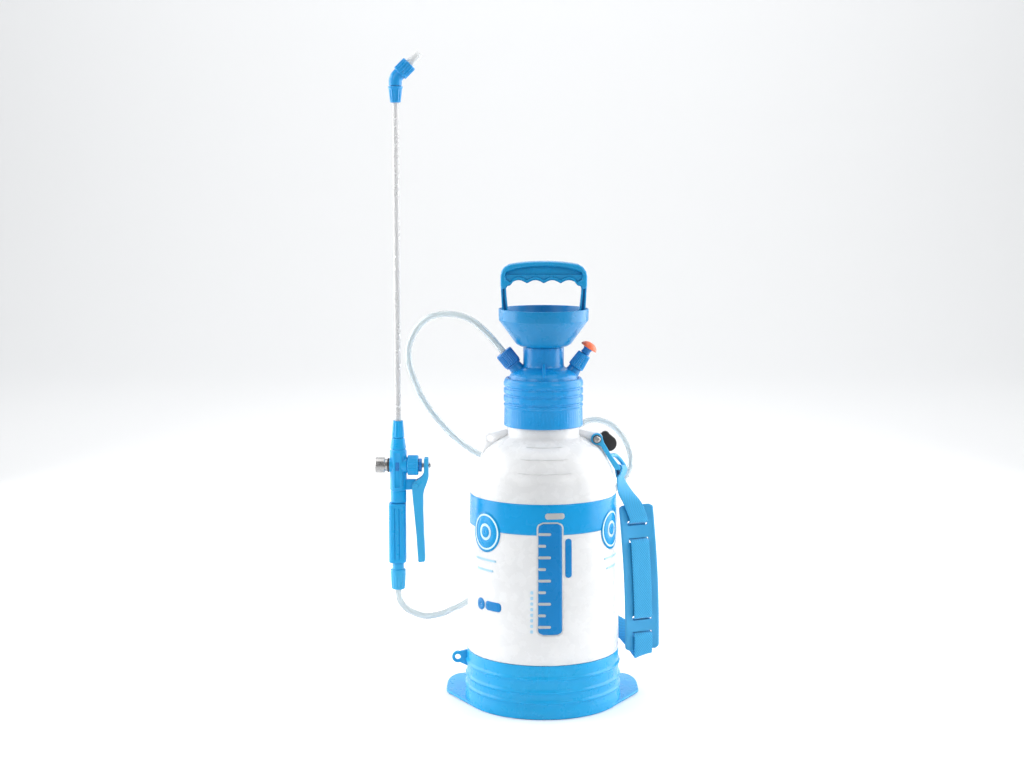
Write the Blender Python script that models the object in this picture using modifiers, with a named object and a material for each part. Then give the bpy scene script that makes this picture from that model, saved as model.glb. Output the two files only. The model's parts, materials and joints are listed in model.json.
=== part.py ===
"""Six-litre hand-pumped compression sprayer with lance, hose and carrying strap.

Frame: origin on the floor under the tank's axis, +Z up, +X towards the safety
valve and the strap, -Y towards the front. All the sizes below are millimetres.
"""

import math

import bmesh
import bpy
from mathutils import Matrix, Vector

MM = 0.001
GAP = 0.3

# Sides of a turned shape, by its size
BIG_ROUND = 30
MEDIUM_ROUND = 16
SMALL_ROUND = 10

# Base and tank
BASE_TOP = 57.5
BASE_RADIUS = 86.0
BASE_FLOOR = 3.5
TANK_RADIUS = 83.2
TANK_WALL = 2.5
NECK_RADIUS = 39.0
NECK_TOP = 341.5
EYELET_X = 58.0
EYELET_Z = 289.0

# Head and funnel
HEAD_FLANGE = 343.0
COLUMN_RADIUS = 22.0
COLUMN_TOP = 389.5
BARREL_BORE = 18.7
FUNNEL_RADIUS = 48.6
FUNNEL_TOP = 430.5

# Pump
BARREL_RADIUS = 17.8
BARREL_WALL = 1.8
BARREL_BOTTOM = 150.0
ROD_RADIUS = 5.0
HANDLE_TOP = 481.3
HANDLE_HALF = 46.5

# Ports on the head: start and direction of their axes
HOSE_PORT = Vector((-33.2, 0.0, 370.6))
HOSE_AXIS = Vector((-0.63, 0.0, 0.777)).normalized()
VALVE_PORT = Vector((34.7, 0.0, 366.9))
VALVE_AXIS = Vector((0.555, 0.0, 0.832)).normalized()

# Lance
LANCE_X = -158.0
LANCE_RADIUS = 3.4
CROSS_Z = 259.3
ELBOW_Z = 675.5
NOZZLE_AXIS = Vector((1.0, 0.0, 1.0)).normalized()
PIVOT_X = -138.7
PIVOT_Z = 237.5
HOSE_RADIUS = 3.5
HOSE_END = 130.0

# Strap
PAD_TOP = Vector((101.2, 0.0, 215.5))
PAD_BOTTOM = Vector((109.6, 0.0, 53.3))
PAD_WIDTH = 41.0
PAD_THICK = 2.4
PAD_TURN = math.radians(22.0)
SLOT_HEIGHTS = (195.6, 177.0, 90.0, 72.0)
WEB_WIDTH = 22.0
WEB_THICK = 1.3
LINK_BAR = Vector((85.4, 8.0, 254.0))
LINK_ALONG = Vector((0.32, 0.925, -0.2)).normalized()

parts = bpy.data.collections.new("compression_sprayer")
cutters = bpy.data.collections.new("cutters")


def look(name, finish):
    """A part's own material from a finish: its colour, roughness and metallic value."""
    colour, roughness, metallic = finish
    material = bpy.data.materials.new(name)
    material.use_nodes = True
    shader = material.node_tree.nodes["Principled BSDF"]
    shader.inputs["Base Color"].default_value = (*colour, 1.0)
    shader.inputs["Roughness"].default_value = roughness
    shader.inputs["Metallic"].default_value = metallic
    return material


def add(name, data, finish, place=None):
    item = bpy.data.objects.new(name, data)
    data.materials.append(look(name + "_finish", finish))
    parts.objects.link(item)
    if place is not None:
        item.matrix_world = place
    return item


def aim(start, direction):
    """Place a shape made along +Z so that it starts here and runs this way."""
    turn = direction.to_track_quat("Z", "Y").to_matrix().to_4x4()
    return Matrix.Translation(start * MM) @ turn


def at(x, y, z):
    return Matrix.Translation(Vector((x, y, z)) * MM)


UPRIGHT = Matrix.Rotation(math.radians(90.0), 4, "X")


def smooth(mesh):
    mesh.shade_smooth()
    mesh.set_sharp_from_angle(angle=math.radians(35.0))


def turned(name, profile, colour, place=None, steps=MEDIUM_ROUND, ring=True):
    """A profile of radius and height, down its outer side, turned about Z."""
    mesh = bpy.data.meshes.new(name)
    points = [(r * MM, 0.0, z * MM) for r, z in profile]
    edges = [(i, i + 1) for i in range(len(points) - 1)]
    if ring:
        edges.append((len(points) - 1, 0))
    mesh.from_pydata(points, edges, [])
    item = add(name, mesh, colour, place)
    screw = item.modifiers.new("turn", "SCREW")
    screw.angle = math.tau
    screw.steps = steps
    screw.render_steps = steps
    screw.use_merge_vertices = True
    screw.merge_threshold = 0.00001
    return item


def solid(name, profile, colour, place=None, steps=MEDIUM_ROUND):
    """A turned solid whose profile starts and ends on its axis."""
    return turned(name, profile, colour, place, steps, ring=False)


def sleeve(name, inner, outer, low, high, colour, place=None, steps=MEDIUM_ROUND):
    return turned(name, [(outer, high), (outer, low), (inner, low), (inner, high)], colour, place, steps)


def rod(name, radius, low, high, colour, place=None, steps=MEDIUM_ROUND):
    return solid(name, [(0.0, high), (radius, high), (radius, low), (0.0, low)], colour, place, steps)


def outline(name, loops, thick, colour, place=None):
    """Closed outlines in the XY plane, as thick as asked, centred on the plane."""
    curve = bpy.data.curves.new(name, "CURVE")
    curve.dimensions = "2D"
    curve.fill_mode = "BOTH"
    curve.extrude = thick / 2.0 * MM
    for loop in loops:
        spline = curve.splines.new("POLY")
        spline.points.add(len(loop) - 1)
        for point, (x, y) in zip(spline.points, loop):
            point.co = (x * MM, y * MM, 0.0, 1.0)
        spline.use_cyclic_u = True
    return meshed(add(name, curve, colour, place), colour)


def meshed(item, finish):
    """The curve object as a closed mesh object in the same place."""
    name = item.name
    place = item.matrix_world.copy()
    bpy.context.view_layer.update()
    found = item.evaluated_get(bpy.context.evaluated_depsgraph_get())
    mesh = bpy.data.meshes.new_from_object(found)
    shape = bmesh.new()
    shape.from_mesh(mesh)
    bmesh.ops.remove_doubles(shape, verts=shape.verts, dist=0.00001)
    bmesh.ops.recalc_face_normals(shape, faces=shape.faces)
    shape.to_mesh(mesh)
    shape.free()
    bpy.data.objects.remove(item, do_unlink=True)
    mesh.materials.clear()
    return add(name, mesh, finish, place)


def tube(name, points, radius, colour, sides=2):
    """A round bar through points given in millimetres."""
    curve = bpy.data.curves.new(name, "CURVE")
    curve.dimensions = "3D"
    curve.bevel_depth = radius * MM
    curve.bevel_resolution = sides
    curve.use_fill_caps = True
    spline = curve.splines.new("POLY")
    spline.points.add(len(points) - 1)
    for point, place in zip(spline.points, points):
        point.co = (*(Vector(place) * MM), 1.0)
    return meshed(add(name, curve, colour), colour)


def block(name, size, centre, colour):
    mesh = bpy.data.meshes.new(name)
    shape = bmesh.new()
    scale = Matrix.Diagonal((*(Vector(size) * MM), 1.0))
    bmesh.ops.create_cube(shape, size=1.0, matrix=scale)
    shape.to_mesh(mesh)
    shape.free()
    return add(name, mesh, colour, at(*centre))


def combine(target, tool, operation, solver="EXACT"):
    """Cut the tool from the target, or join it to the target."""
    parts.objects.unlink(tool)
    cutters.objects.link(tool)
    tool.hide_render = True
    tool.display_type = "WIRE"
    modifier = target.modifiers.new(operation.lower(), "BOOLEAN")
    modifier.operation = operation
    modifier.solver = solver
    modifier.object = tool
    return target


def cut(target, tool):
    return combine(target, tool, "DIFFERENCE")


def join(target, tool):
    return combine(target, tool, "UNION")


def arc(x, y, radius, start, end, count):
    """Points on a round stretch of an outline, angles in degrees."""
    points = []
    for step in range(count + 1):
        angle = math.radians(start + (end - start) * step / count)
        points.append((x + radius * math.cos(angle), y + radius * math.sin(angle)))
    return points


def circle(x, y, radius, count=24):
    return arc(x, y, radius, 0.0, 360.0, count)[:-1]


def rounded_box(half_x, half_y, radius, count=5):
    points = []
    for turn, (sx, sy) in enumerate(((1, 1), (-1, 1), (-1, -1), (1, -1))):
        start = 90.0 * turn
        points += arc(sx * (half_x - radius), sy * (half_y - radius), radius, start, start + 90.0, count)
    return points


def smooth_route(route, spacing):
    """Points a step apart on a smooth curve through the route's points."""
    knots = [Vector(point) for point in route]
    knots = [2 * knots[0] - knots[1]] + knots + [2 * knots[-1] - knots[-2]]
    fine = []
    for i in range(1, len(knots) - 2):
        a, b, c, d = knots[i - 1 : i + 3]
        for step in range(20):
            t = step / 20.0
            slope = (c - a) * t
            bend = (2 * a - 5 * b + 4 * c - d) * t**2
            twist = (3 * b - a - 3 * c + d) * t**3
            fine.append(0.5 * (2 * b + slope + bend + twist))
    fine.append(knots[-2])
    length = sum((q - p).length for p, q in zip(fine, fine[1:]))
    count = max(2, round(length / spacing))
    points = [fine[0]]
    travelled = 0.0
    for p, q in zip(fine, fine[1:]):
        travelled += (q - p).length
        if travelled >= len(points) * length / count and len(points) < count:
            points.append(q)
    points.append(fine[-1])
    return points


# ---- base and tank ----

def base_foot(colour):
    profile = [(0.0, BASE_FLOOR), (80.2, BASE_FLOOR), (80.9, 6.0), (80.9, BASE_TOP), (83.4, BASE_TOP)]
    for height, radius in ((43.4, 84.2), (29.0, 84.8), (17.9, 85.3)):
        profile += [(radius, height + 1.6), (radius + 0.9, height), (radius, height - 1.6)]
    profile += [(85.8, 9.0), (BASE_RADIUS, 5.0), (BASE_RADIUS, 0.0), (0.0, 0.0)]
    base = solid("base_foot", profile, colour, steps=BIG_ROUND)
    for side in (-1, 1):
        tab = foot_tab(side, colour)
        join(base, tab)
    ring_x = -93.9
    join(base, side_eyelet("base_eyelet", ring_x, 45.0, colour))
    rear = side_eyelet("rear_eyelet", ring_x, 45.0, colour)
    rear.matrix_world = Matrix.Rotation(math.radians(-105.0), 4, "Z") @ rear.matrix_world
    join(base, rear)
    return base


def foot_tab(side, colour):
    """A flat step flush with the floor, held down by a foot while pumping."""
    loop = [
        (60.0, -40.0), (72.5, -46.3), (105.2, 9.6), (106.9, 13.4), (107.2, 18.0), (107.2, 44.0),
        (106.2, 56.0),
    ]
    loop += [(103.4, 67.0), (98.8, 75.6), (92.5, 80.4), (84.0, 82.0), (29.0, 82.0), (20.0, 60.0)]
    return outline("foot_tab", [[(side * x, y) for x, y in loop]], 2.8, colour, at(0.0, 0.0, 1.8))


def side_eyelet(name, x, z, colour):
    """An upright ear on the left of the base, with its web and its hole."""
    root = x + 10.9
    loop = [(root, z + 8.5)] + arc(x, z, 6.4, 70.0, 290.0, 14) + [(root, z - 10.0)]
    return outline(name, [loop, circle(x, z, 3.1, 20)], 5.0, colour, UPRIGHT)


def tank_outer():
    return [
        (NECK_RADIUS, NECK_TOP), (NECK_RADIUS, 293.5), (42.0, 291.2), (50.5, 286.6), (59.7, 280.0),
        (65.5, 272.5), (70.5, 265.2), (75.4, 256.5), (77.6, 248.0), (78.5, 240.0), (79.5, 231.0),
        (81.6, 140.0), (TANK_RADIUS, BASE_TOP + 1.0), (TANK_RADIUS, BASE_TOP + GAP), (80.4, BASE_TOP + GAP),
        (80.0, 22.0), (77.5, 12.0), (72.0, 6.5), (64.0, BASE_FLOOR + GAP), (0.0, BASE_FLOOR + GAP),
    ]


def tank_shell(colour):
    wall = TANK_WALL
    inner = [
        (0.0, BASE_FLOOR + GAP + wall), (64.0, BASE_FLOOR + GAP + wall), (70.5, 9.0), (75.3, 13.5),
        (77.5, 22.5), (77.8, BASE_TOP), (79.0, 140.0), (77.0, 231.0), (75.0, 248.0), (72.8, 255.8),
        (68.4, 263.4), (57.8, 278.0), (49.0, 284.2), (40.6, 288.8), (36.0, 291.8), (36.0, NECK_TOP),
    ]
    tank = solid("tank_shell", inner + tank_outer(), colour, steps=BIG_ROUND)
    for side in (-1, 1):
        join(tank, shoulder_eyelet(side, colour))
    return tank


def shoulder_eyelet(side, colour):
    """An ear in the crook between neck and shoulder, drilled across."""
    x = EYELET_X
    z = EYELET_Z
    loop = [(37.6, 299.5), (50.0, 296.6)] + arc(x, z, 6.5, 105.0, -35.0, 12)
    loop += [(68.9, 266.0), (64.6, 271.8), (58.8, 279.2), (49.8, 285.4), (41.4, 290.0), (37.6, 291.8)]
    hole = circle(x, z, 3.4, 20)
    loop = [(side * px, pz) for px, pz in loop]
    hole = [(side * px, pz) for px, pz in hole]
    return outline("shoulder_eyelet", [loop, hole], 5.0, colour, UPRIGHT)


def neck_gasket(colour):
    return sleeve("neck_gasket", 35.8, 38.6, NECK_TOP + GAP, HEAD_FLANGE - GAP, colour)


# ---- head ----

def head_collar(colour):
    profile = [(38.3, 355.5), (41.0, 355.5), (42.4, 352.5), (43.0, 351.0)]
    for groove in (346.0, 338.0, 329.0):
        profile += [(43.0, groove + 1.4), (42.0, groove + 0.7), (42.0, groove - 0.7), (43.0, groove - 1.4)]
    profile += [(43.0, 325.6), (42.4, 325.0), (42.8, 304.0), (40.6, 304.0), (40.6, 350.3), (38.3, 350.3)]
    return turned("head_collar", profile, colour, steps=BIG_ROUND)


def head_body(colour):
    profile = [
        (COLUMN_RADIUS, COLUMN_TOP), (COLUMN_RADIUS, 368.0), (23.4, 366.3), (27.5, 365.2), (33.0, 362.4),
        (36.2, 358.8), (37.6, 354.0), (37.6, 350.0), (40.2, 350.0), (40.2, HEAD_FLANGE), (34.5, HEAD_FLANGE),
        (34.5, 352.0), (32.2, 357.2), (28.0, 361.0), (24.0, 362.4), (21.4, 362.4), (21.4, HEAD_FLANGE + 2.0),
        (BARREL_BORE, HEAD_FLANGE + 2.0), (BARREL_BORE, COLUMN_TOP),
    ]
    head = turned("head_body", profile, colour, steps=BIG_ROUND)
    for side in (-1, 1):
        join(head, gusset(side, colour))
    hose_stub = [(0.0, 9.7), (6.0, 9.7), (6.0, -GAP), (7.0, -GAP), (8.6, -10.5), (0.0, -10.5)]
    join(head, solid("hose_stub", hose_stub, colour, aim(HOSE_PORT, HOSE_AXIS), MEDIUM_ROUND))
    valve_stub = [(0.0, 5.0), (5.2, 5.0), (5.2, -GAP), (7.0, -GAP), (8.2, -8.0), (0.0, -8.0)]
    join(head, solid("valve_stub", valve_stub, colour, aim(VALVE_PORT, VALVE_AXIS), MEDIUM_ROUND))
    cut(head, rod("hose_passage", 2.4, -13.5, 12.0, colour, aim(HOSE_PORT, HOSE_AXIS), SMALL_ROUND))
    cut(head, rod("valve_passage", 1.6, -11.5, 8.0, colour, aim(VALVE_PORT, VALVE_AXIS), SMALL_ROUND))
    return head


def gusset(side, colour):
    """A thin rib between column and dome, on the front or the back."""
    loop = [
        (20.5, 379.0), (22.4, 378.0), (37.0, 359.8), (37.0, 354.5), (34.8, 356.0), (30.0, 362.0),
        (20.5, 364.0),
    ]
    place = Matrix.Rotation(math.radians(-90.0 * side), 4, "Z") @ UPRIGHT
    return outline("gusset", [loop], 3.0, colour, place)


def funnel(colour):
    rest = COLUMN_TOP + GAP
    profile = [
        (46.9, FUNNEL_TOP), (FUNNEL_RADIUS, FUNNEL_TOP), (FUNNEL_RADIUS, 428.0), (48.3, 418.0), (30.0, 392.6),
        (28.6, 391.8), (25.6, rest), (BARREL_BORE, rest), (BARREL_BORE, 393.4), (27.6, 393.4), (46.2, 419.2),
    ]
    return turned("filling_funnel", profile, colour, steps=BIG_ROUND)


def outlet_parts(colour, seal):
    place = aim(HOSE_PORT, HOSE_AXIS)
    nut = [
        (9.2, 16.4), (9.6, 15.4), (9.6, 1.0), (9.2, 0.0), (6.4, 0.0), (6.4, 10.0), (3.9, 10.0),
        (3.9, 16.4),
    ]
    turned("hose_nut", nut, colour, place, MEDIUM_ROUND)
    sleeve("hose_nut_seal", 7.8, 9.0, -1.7, -GAP, seal, place, MEDIUM_ROUND)


def relief_parts(colour, cap_colour, steel, seal):
    place = aim(VALVE_PORT, VALVE_AXIS)
    nut = [
        (7.0, 17.3), (7.4, 16.6), (8.7, 0.8), (8.4, 0.0), (5.5, 0.0), (5.5, 13.6), (3.3, 13.6),
        (3.3, 17.3),
    ]
    turned("relief_nut", nut, colour, place, MEDIUM_ROUND)
    stem = [
        (0.0, 27.0), (2.4, 27.0), (2.4, 26.0), (5.6, 26.0),
        (5.6, 25.0), (4.4, 22.4), (4.9, 19.0), (4.9, 17.9),
        (3.0, 17.9), (3.0, 12.0), (1.6, 12.0), (1.6, 8.6), (0.0, 8.6),
    ]
    solid("relief_stem", stem, colour, place, MEDIUM_ROUND)
    plug = [(0.0, 8.3), (4.9, 8.3), (4.9, 6.6), (0.0, 6.6)]
    solid("relief_valve_disc", plug, colour, place, SMALL_ROUND)
    sleeve("relief_seal", 2.0, 4.6, 5.3, 6.3, seal, place, SMALL_ROUND)
    coil("relief_spring", 3.9, 0.4, 8.8, 13.1, 4, steel, place)
    cap = [(0.0, 31.4), (3.4, 31.0), (6.6, 29.6), (8.8, 27.6), (9.5, 25.9), (9.5, 25.0), (6.0, 25.0)]
    cap += [(6.0, 26.3), (2.8, 26.3), (2.8, 27.3), (0.0, 27.3)]
    solid("relief_cap", cap, cap_colour, place, MEDIUM_ROUND)


def coil(name, radius, wire, low, high, turns, colour, place):
    """A compression spring as a round wire on a helix."""
    count = turns * 7
    points = []
    for step in range(count + 1):
        angle = math.tau * turns * step / count
        height = low + wire + (high - low - 2 * wire) * step / count
        points.append((radius * math.cos(angle), radius * math.sin(angle), height))
    spring = tube(name, points, wire, colour, 1)
    spring.matrix_world = place
    return spring


# ---- pump ----

def pump_parts(blue, white, rubber, steel):
    top = 398.4
    r = BARREL_RADIUS
    bore = r - BARREL_WALL
    low = BARREL_BOTTOM
    barrel = [
        (bore, top), (r + 5.5, top), (r + 5.5, 394.0), (r, 394.0),
        (r, low), (3.6, low), (3.6, low + 3.0), (bore, low + 3.0),
    ]
    turned("pump_barrel", barrel, white, steps=MEDIUM_ROUND)
    cap = [(5.5, 409.0), (13.0, 409.0), (22.6, 406.4), (24.2, 405.0), (24.2, top + GAP), (5.5, top + GAP)]
    guide = turned("pump_cap", cap, blue, steps=MEDIUM_ROUND)
    cut(guide, sleeve("cap_pocket", 13.0, 20.0, 407.6, 412.0, blue, steps=MEDIUM_ROUND))
    flap = [
        (0.0, low - GAP), (8.0, low - GAP), (8.6, low - 1.2), (8.0, low - 2.0), (3.4, low - 3.2),
        (0.0, low - 3.6),
    ]
    solid("pump_check_valve", flap, rubber, steps=MEDIUM_ROUND)
    rod("pump_rod", ROD_RADIUS, 168.0, 419.2, steel, steps=SMALL_ROUND)
    piston = [
        (0.0, 167.7), (12.0, 167.7), (15.4, 166.0), (15.4, 162.6), (12.8, 162.6), (12.8, 159.4),
        (15.4, 159.4),
    ]
    piston += [(15.4, 157.0), (12.0, 155.6), (0.0, 155.6)]
    solid("pump_piston", piston, blue, steps=MEDIUM_ROUND)
    sleeve("piston_seal", 13.1, 15.75, 159.7, 162.3, rubber, steps=MEDIUM_ROUND)


def handle_outer():
    right = [(0.0, HANDLE_TOP), (14.0, 481.0), (28.0, 480.0), (37.0, 478.0)]
    right += [
        (42.5, 474.6), (45.6, 470.8), (HANDLE_HALF, 466.5), (HANDLE_HALF, 455.5), (45.8, 446.0),
        (45.1, 431.0),
    ]
    right += [(44.0, 424.0), (41.0, 417.5), (35.0, 412.2), (26.0, 410.6), (11.0, 410.0)]
    return right + [(-x, z) for x, z in reversed(right[1:])]


def handle_window():
    """The hand opening: finger waves above, legs at the sides, bridge below."""
    teeth = ((-19.5, 457.5), (-0.3, 459.2), (18.4, 457.8))
    loop = [(-40.4, 447.0), (-39.4, 453.4), (-35.0, 457.6), (-26.3, 460.2), (-21.4, 459.0)]
    loop += [teeth[0], (-17.4, 459.2), (-9.0, 461.6), (-2.4, 460.4), teeth[1], (1.8, 460.4), (8.3, 461.6)]
    loop += [
        (16.2, 459.4), teeth[2], (20.6, 459.2), (28.5, 460.2), (35.0, 457.6), (39.4, 453.4),
        (40.4, 447.0),
    ]
    loop += [(38.6, 431.0), (37.4, 425.4), (34.6, 420.8), (29.0, 418.0), (12.0, 417.2)]
    return loop + [(-12.0, 417.2), (-29.0, 418.0), (-34.6, 420.8), (-37.4, 425.4), (-38.6, 431.0)]


def pump_handle(colour):
    handle = outline("pump_handle", [handle_outer(), handle_window()], 13.0, colour, UPRIGHT)
    grip = [(x, z) for x, z in handle_outer() if z > 455.0]
    lower = [(x, z) for x, z in handle_window() if z > 453.0]
    grip_loop = [(x, z) for x, z in grip if x >= 0] + list(reversed([(x, z) for x, z in lower if x >= 0]))
    grip_loop += list(reversed([(x, z) for x, z in lower if x < 0])) + [(x, z) for x, z in grip if x < 0]
    join(handle, outline("grip_body", [grip_loop], 22.0, colour, UPRIGHT))
    join(handle, rod("handle_hub", 11.0, 409.6, 421.0, colour, steps=MEDIUM_ROUND))
    for side in (-1, 1):
        panel = outline("grip_panel", [rounded_box(41.0, 4.6, 4.0)], 3.0, colour, UPRIGHT)
        panel.location = Vector((0.0, side * 11.0, 469.2)) * MM
        cut(handle, panel)
        for leg in (-1, 1):
            cut(handle, block("leg_channel", (2.4, 5.0, 30.0), (leg * 42.2, side * 6.5, 438.0), colour))
    cut(handle, rod("rod_socket", ROD_RADIUS + GAP, 400.0, 419.5, colour, steps=SMALL_ROUND))
    return handle


def pickup_parts(white, blue):
    place = at(-27.5, 0.0, 0.0)
    sleeve("dip_tube", 2.6, 4.0, 24.3, 353.0, white, place, SMALL_ROUND)
    strainer = [(3.0, 24.0), (6.5, 24.0), (7.5, 22.5), (7.5, 8.0), (5.6, 8.0), (5.6, 21.5), (3.0, 21.5)]
    turned("dip_strainer", strainer, blue, place, SMALL_ROUND)


# ---- lance ----

def valve_handle(blue):
    """Valve body with its side bosses, its lever ear and its inner tube."""
    place = at(LANCE_X, 0.0, 0.0)
    body = [
        (6.6, 289.6), (8.0, 276.3), (9.2, 275.2), (9.2, 232.6), (8.5, 231.6), (8.5, 218.0), (4.6, 218.0),
        (4.6, 146.0), (2.6, 146.0), (2.6, 289.6),
    ]
    valve = turned("valve_body", body, blue, place, MEDIUM_ROUND)
    across = Vector((1.0, 0.0, 0.0))
    boss = aim(Vector((LANCE_X, 0.0, CROSS_Z)), across)
    join(valve, rod("right_boss", 8.8, 3.4, 9.9, blue, boss, MEDIUM_ROUND))
    join(valve, rod("left_boss", 7.6, -9.7, -3.6, blue, boss, MEDIUM_ROUND))
    ear = [(-152.0, 244.0), (-139.5, 243.6)] + arc(PIVOT_X, PIVOT_Z, 4.8, 70.0, -70.0, 10)
    ear += [(-144.0, 232.6), (-152.0, 232.2)]
    hole = circle(-146.1, 238.4, 2.0, 12)
    join(valve, outline("lever_ear", [ear, hole, circle(PIVOT_X, PIVOT_Z, 1.8, 10)], 6.0, blue, UPRIGHT))
    cut(valve, rod("chamber", 6.5, -12.0, 12.0, blue, boss, MEDIUM_ROUND))
    window = block("window", (4.3, 3.0, 10.0), (LANCE_X - 0.6, -9.0, 258.8), blue)
    combine(valve, window, "DIFFERENCE", "MANIFOLD")
    return valve


def cross_parts(blue, steel, dark):
    """What lies on the valve's cross axis, left to right."""
    across = Vector((1.0, 0.0, 0.0))
    place = aim(Vector((LANCE_X, 0.0, CROSS_Z)), across)
    sleeve("fitting_washer", 6.6, 7.8, -11.2, -10.0, dark, place, MEDIUM_ROUND)
    head = [(0.0, -4.6), (6.2, -4.6), (6.2, -11.5), (6.9, -11.5), (6.9, -14.7), (8.5, -14.7), (8.5, -24.0)]
    solid("inlet_plug", head + [(7.7, -25.0), (0.0, -25.0)], steel, place, MEDIUM_ROUND)
    nut = [
        (10.2, 22.0), (11.0, 21.0), (11.0, 11.0), (10.4, 10.2), (2.1, 10.2), (2.1, 19.0),
        (3.4, 19.0), (3.4, 22.0),
    ]
    turned("gland_nut", nut, blue, place, MEDIUM_ROUND)
    sleeve("gland_cap", 3.0, 7.3, 22.3, 25.7, blue, place, MEDIUM_ROUND)
    sleeve("gland_seal", 2.1, 3.1, 19.3, 21.7, dark, place, SMALL_ROUND)
    stem = [
        (0.0, 35.4), (2.2, 35.4), (2.9, 34.7), (2.9, 33.5),
        (1.7, 33.5), (1.7, 27.6), (2.7, 27.6), (2.7, 26.0),
        (1.7, 26.0), (1.7, 1.5), (5.6, 1.5), (5.6, -1.5), (0.0, -1.5),
    ]
    solid("valve_stem", stem, steel, place, SMALL_ROUND)
    sleeve("valve_seal", 1.2, 5.2, -3.2, -1.9, dark, place, SMALL_ROUND)
    coil("valve_spring", 4.0, 0.45, 1.9, 9.8, 5, steel, place)


def trigger(colour):
    """The squeeze lever: a pivot boss, a long blade and a forked top."""
    right = [
        (-125.2, 267.6), (-125.1, 246.0), (-126.5, 241.0), (-129.6, 233.0), (-130.9, 227.0),
        (-131.0, 208.8),
    ]
    right += [(-130.2, 183.2), (-129.1, 158.0), (-129.2, 154.0), (-130.2, 153.0)]
    left = [
        (-135.6, 152.2), (-136.8, 153.4), (-138.6, 183.2), (-140.9, 208.8), (-142.5, 225.8),
        (-143.2, 236.8),
    ]
    crook = [
        (-142.4, 240.4), (-140.0, 242.6), (-136.6, 243.8), (-132.6, 246.8), (-130.0, 251.7),
        (-129.8, 267.6),
    ]
    lever = outline("trigger", [right + left + crook], 14.0, colour, UPRIGHT)
    cut(lever, block("ear_slot", (24.0, 6.8, 30.0), (PIVOT_X - 4.9, 0.0, PIVOT_Z - 1.0), colour))
    cut(lever, block("stem_slot", (12.0, 4.4, 14.0), (-127.0, 0.0, 262.8), colour))
    across = aim(Vector((PIVOT_X, 0.0, PIVOT_Z)), Vector((0.0, 1.0, 0.0)))
    cut(lever, rod("pin_hole", 1.8, -10.0, 10.0, colour, across, SMALL_ROUND))
    return lever


def trigger_pin(colour):
    """The lever's pivot, headed outside both cheeks."""
    across = aim(Vector((PIVOT_X, 0.0, PIVOT_Z)), Vector((0.0, 1.0, 0.0)))
    half = [(0.0, 8.3), (2.6, 8.3), (3.0, 7.9), (3.0, 7.3), (1.4, 7.3)]
    return solid("trigger_pin", half + [(r, -z) for r, z in reversed(half)], colour, across, SMALL_ROUND)


def grip_parts(blue, grey, dark):
    place = at(LANCE_X - 1.3, 0.0, 184.9)
    grip = outline("hand_grip", [rounded_box(9.4, 10.8, 5.5)], 65.4, blue, place)
    cut(grip, rod("grip_bore", 4.9, 140.0, 230.0, blue, at(LANCE_X, 0.0, 0.0), 28))
    axis = at(LANCE_X - 1.0, 0.0, 0.0)
    nut = [(6.4, 151.6), (6.4, 144.2), (8.3, 143.4), (8.3, 137.8), (7.4, 122.4), (6.9, 121.9), (3.9, 121.9)]
    nut += [(3.9, 138.0), (6.0, 138.0), (6.0, 151.6)]
    turned("hose_end_nut", nut, blue, axis, MEDIUM_ROUND)
    screen = [
        (2.0, 145.4), (4.6, 145.4), (4.6, 138.6), (2.9, 138.6), (2.9, HOSE_END + GAP),
        (2.0, HOSE_END + GAP),
    ]
    turned("hose_tail_strainer", screen, grey, axis, SMALL_ROUND)


def lance_parts(blue, white, clear, dark):
    place = at(LANCE_X, 0.0, 0.0)
    nut = [(5.4, 308.4), (6.6, 290.4), (6.2, 289.9), (3.9, 289.9), (3.9, 308.4)]
    turned("lance_nut", nut, blue, place, 12)
    sleeve("lance_tube", 2.4, LANCE_RADIUS, 290.3, 664.0, white, place, SMALL_ROUND)
    lower = [
        (7.8, 667.0), (7.8, 664.6), (5.6, 650.2), (5.2, 649.7), (3.7, 649.7), (3.7, 664.4),
        (4.6, 664.4), (4.6, 667.0),
    ]
    turned("elbow_nut", lower, blue, place, MEDIUM_ROUND)
    elbow = outline_elbow(blue)
    nozzle = aim(Vector((LANCE_X, 0.0, ELBOW_Z)), NOZZLE_AXIS)
    collar = [
        (8.0, 21.7), (8.6, 21.0), (8.6, 7.4), (8.2, 6.6), (7.2, 6.6), (7.2, 14.0), (5.2, 14.0),
        (5.2, 21.7),
    ]
    turned("nozzle_nut", collar, blue, nozzle, MEDIUM_ROUND)
    tip = [(1.0, 36.6), (4.2, 36.6), (4.4, 36.0), (4.9, 14.3), (3.4, 14.3), (3.4, 34.0), (1.0, 34.0)]
    turned("nozzle_tip", tip, clear, nozzle, MEDIUM_ROUND)
    core = [(0.0, 33.4), (1.6, 33.4), (3.0, 31.8), (3.0, 14.6), (0.0, 14.6)]
    solid("swirl_core", core, white, nozzle, SMALL_ROUND)
    sleeve("nozzle_seal", 3.2, 5.6, 12.6, 13.6, dark, nozzle, SMALL_ROUND)
    return elbow


def outline_elbow(colour):
    """A bent pipe: an upright leg and a leg at 45 degrees, joined at the bend."""
    upright = at(LANCE_X, 0.0, 0.0)
    tilted = aim(Vector((LANCE_X, 0.0, ELBOW_Z)), NOZZLE_AXIS)
    leg = [(0.0, 678.0), (7.0, 677.6), (7.0, 667.4), (4.2, 667.4), (4.2, 664.4), (0.0, 664.4)]
    elbow = solid("lance_elbow", leg, colour, upright, MEDIUM_ROUND)
    branch = [(0.0, 12.2), (6.8, 12.2), (6.8, -0.6), (0.0, -0.9)]
    join(elbow, solid("branch", branch, colour, tilted, MEDIUM_ROUND))
    cut(elbow, rod("upright_way", 2.2, 660.0, ELBOW_Z + 0.4, colour, upright, SMALL_ROUND))
    cut(elbow, rod("branch_way", 2.2, -0.5, 14.0, colour, tilted, SMALL_ROUND))
    return elbow


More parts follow.
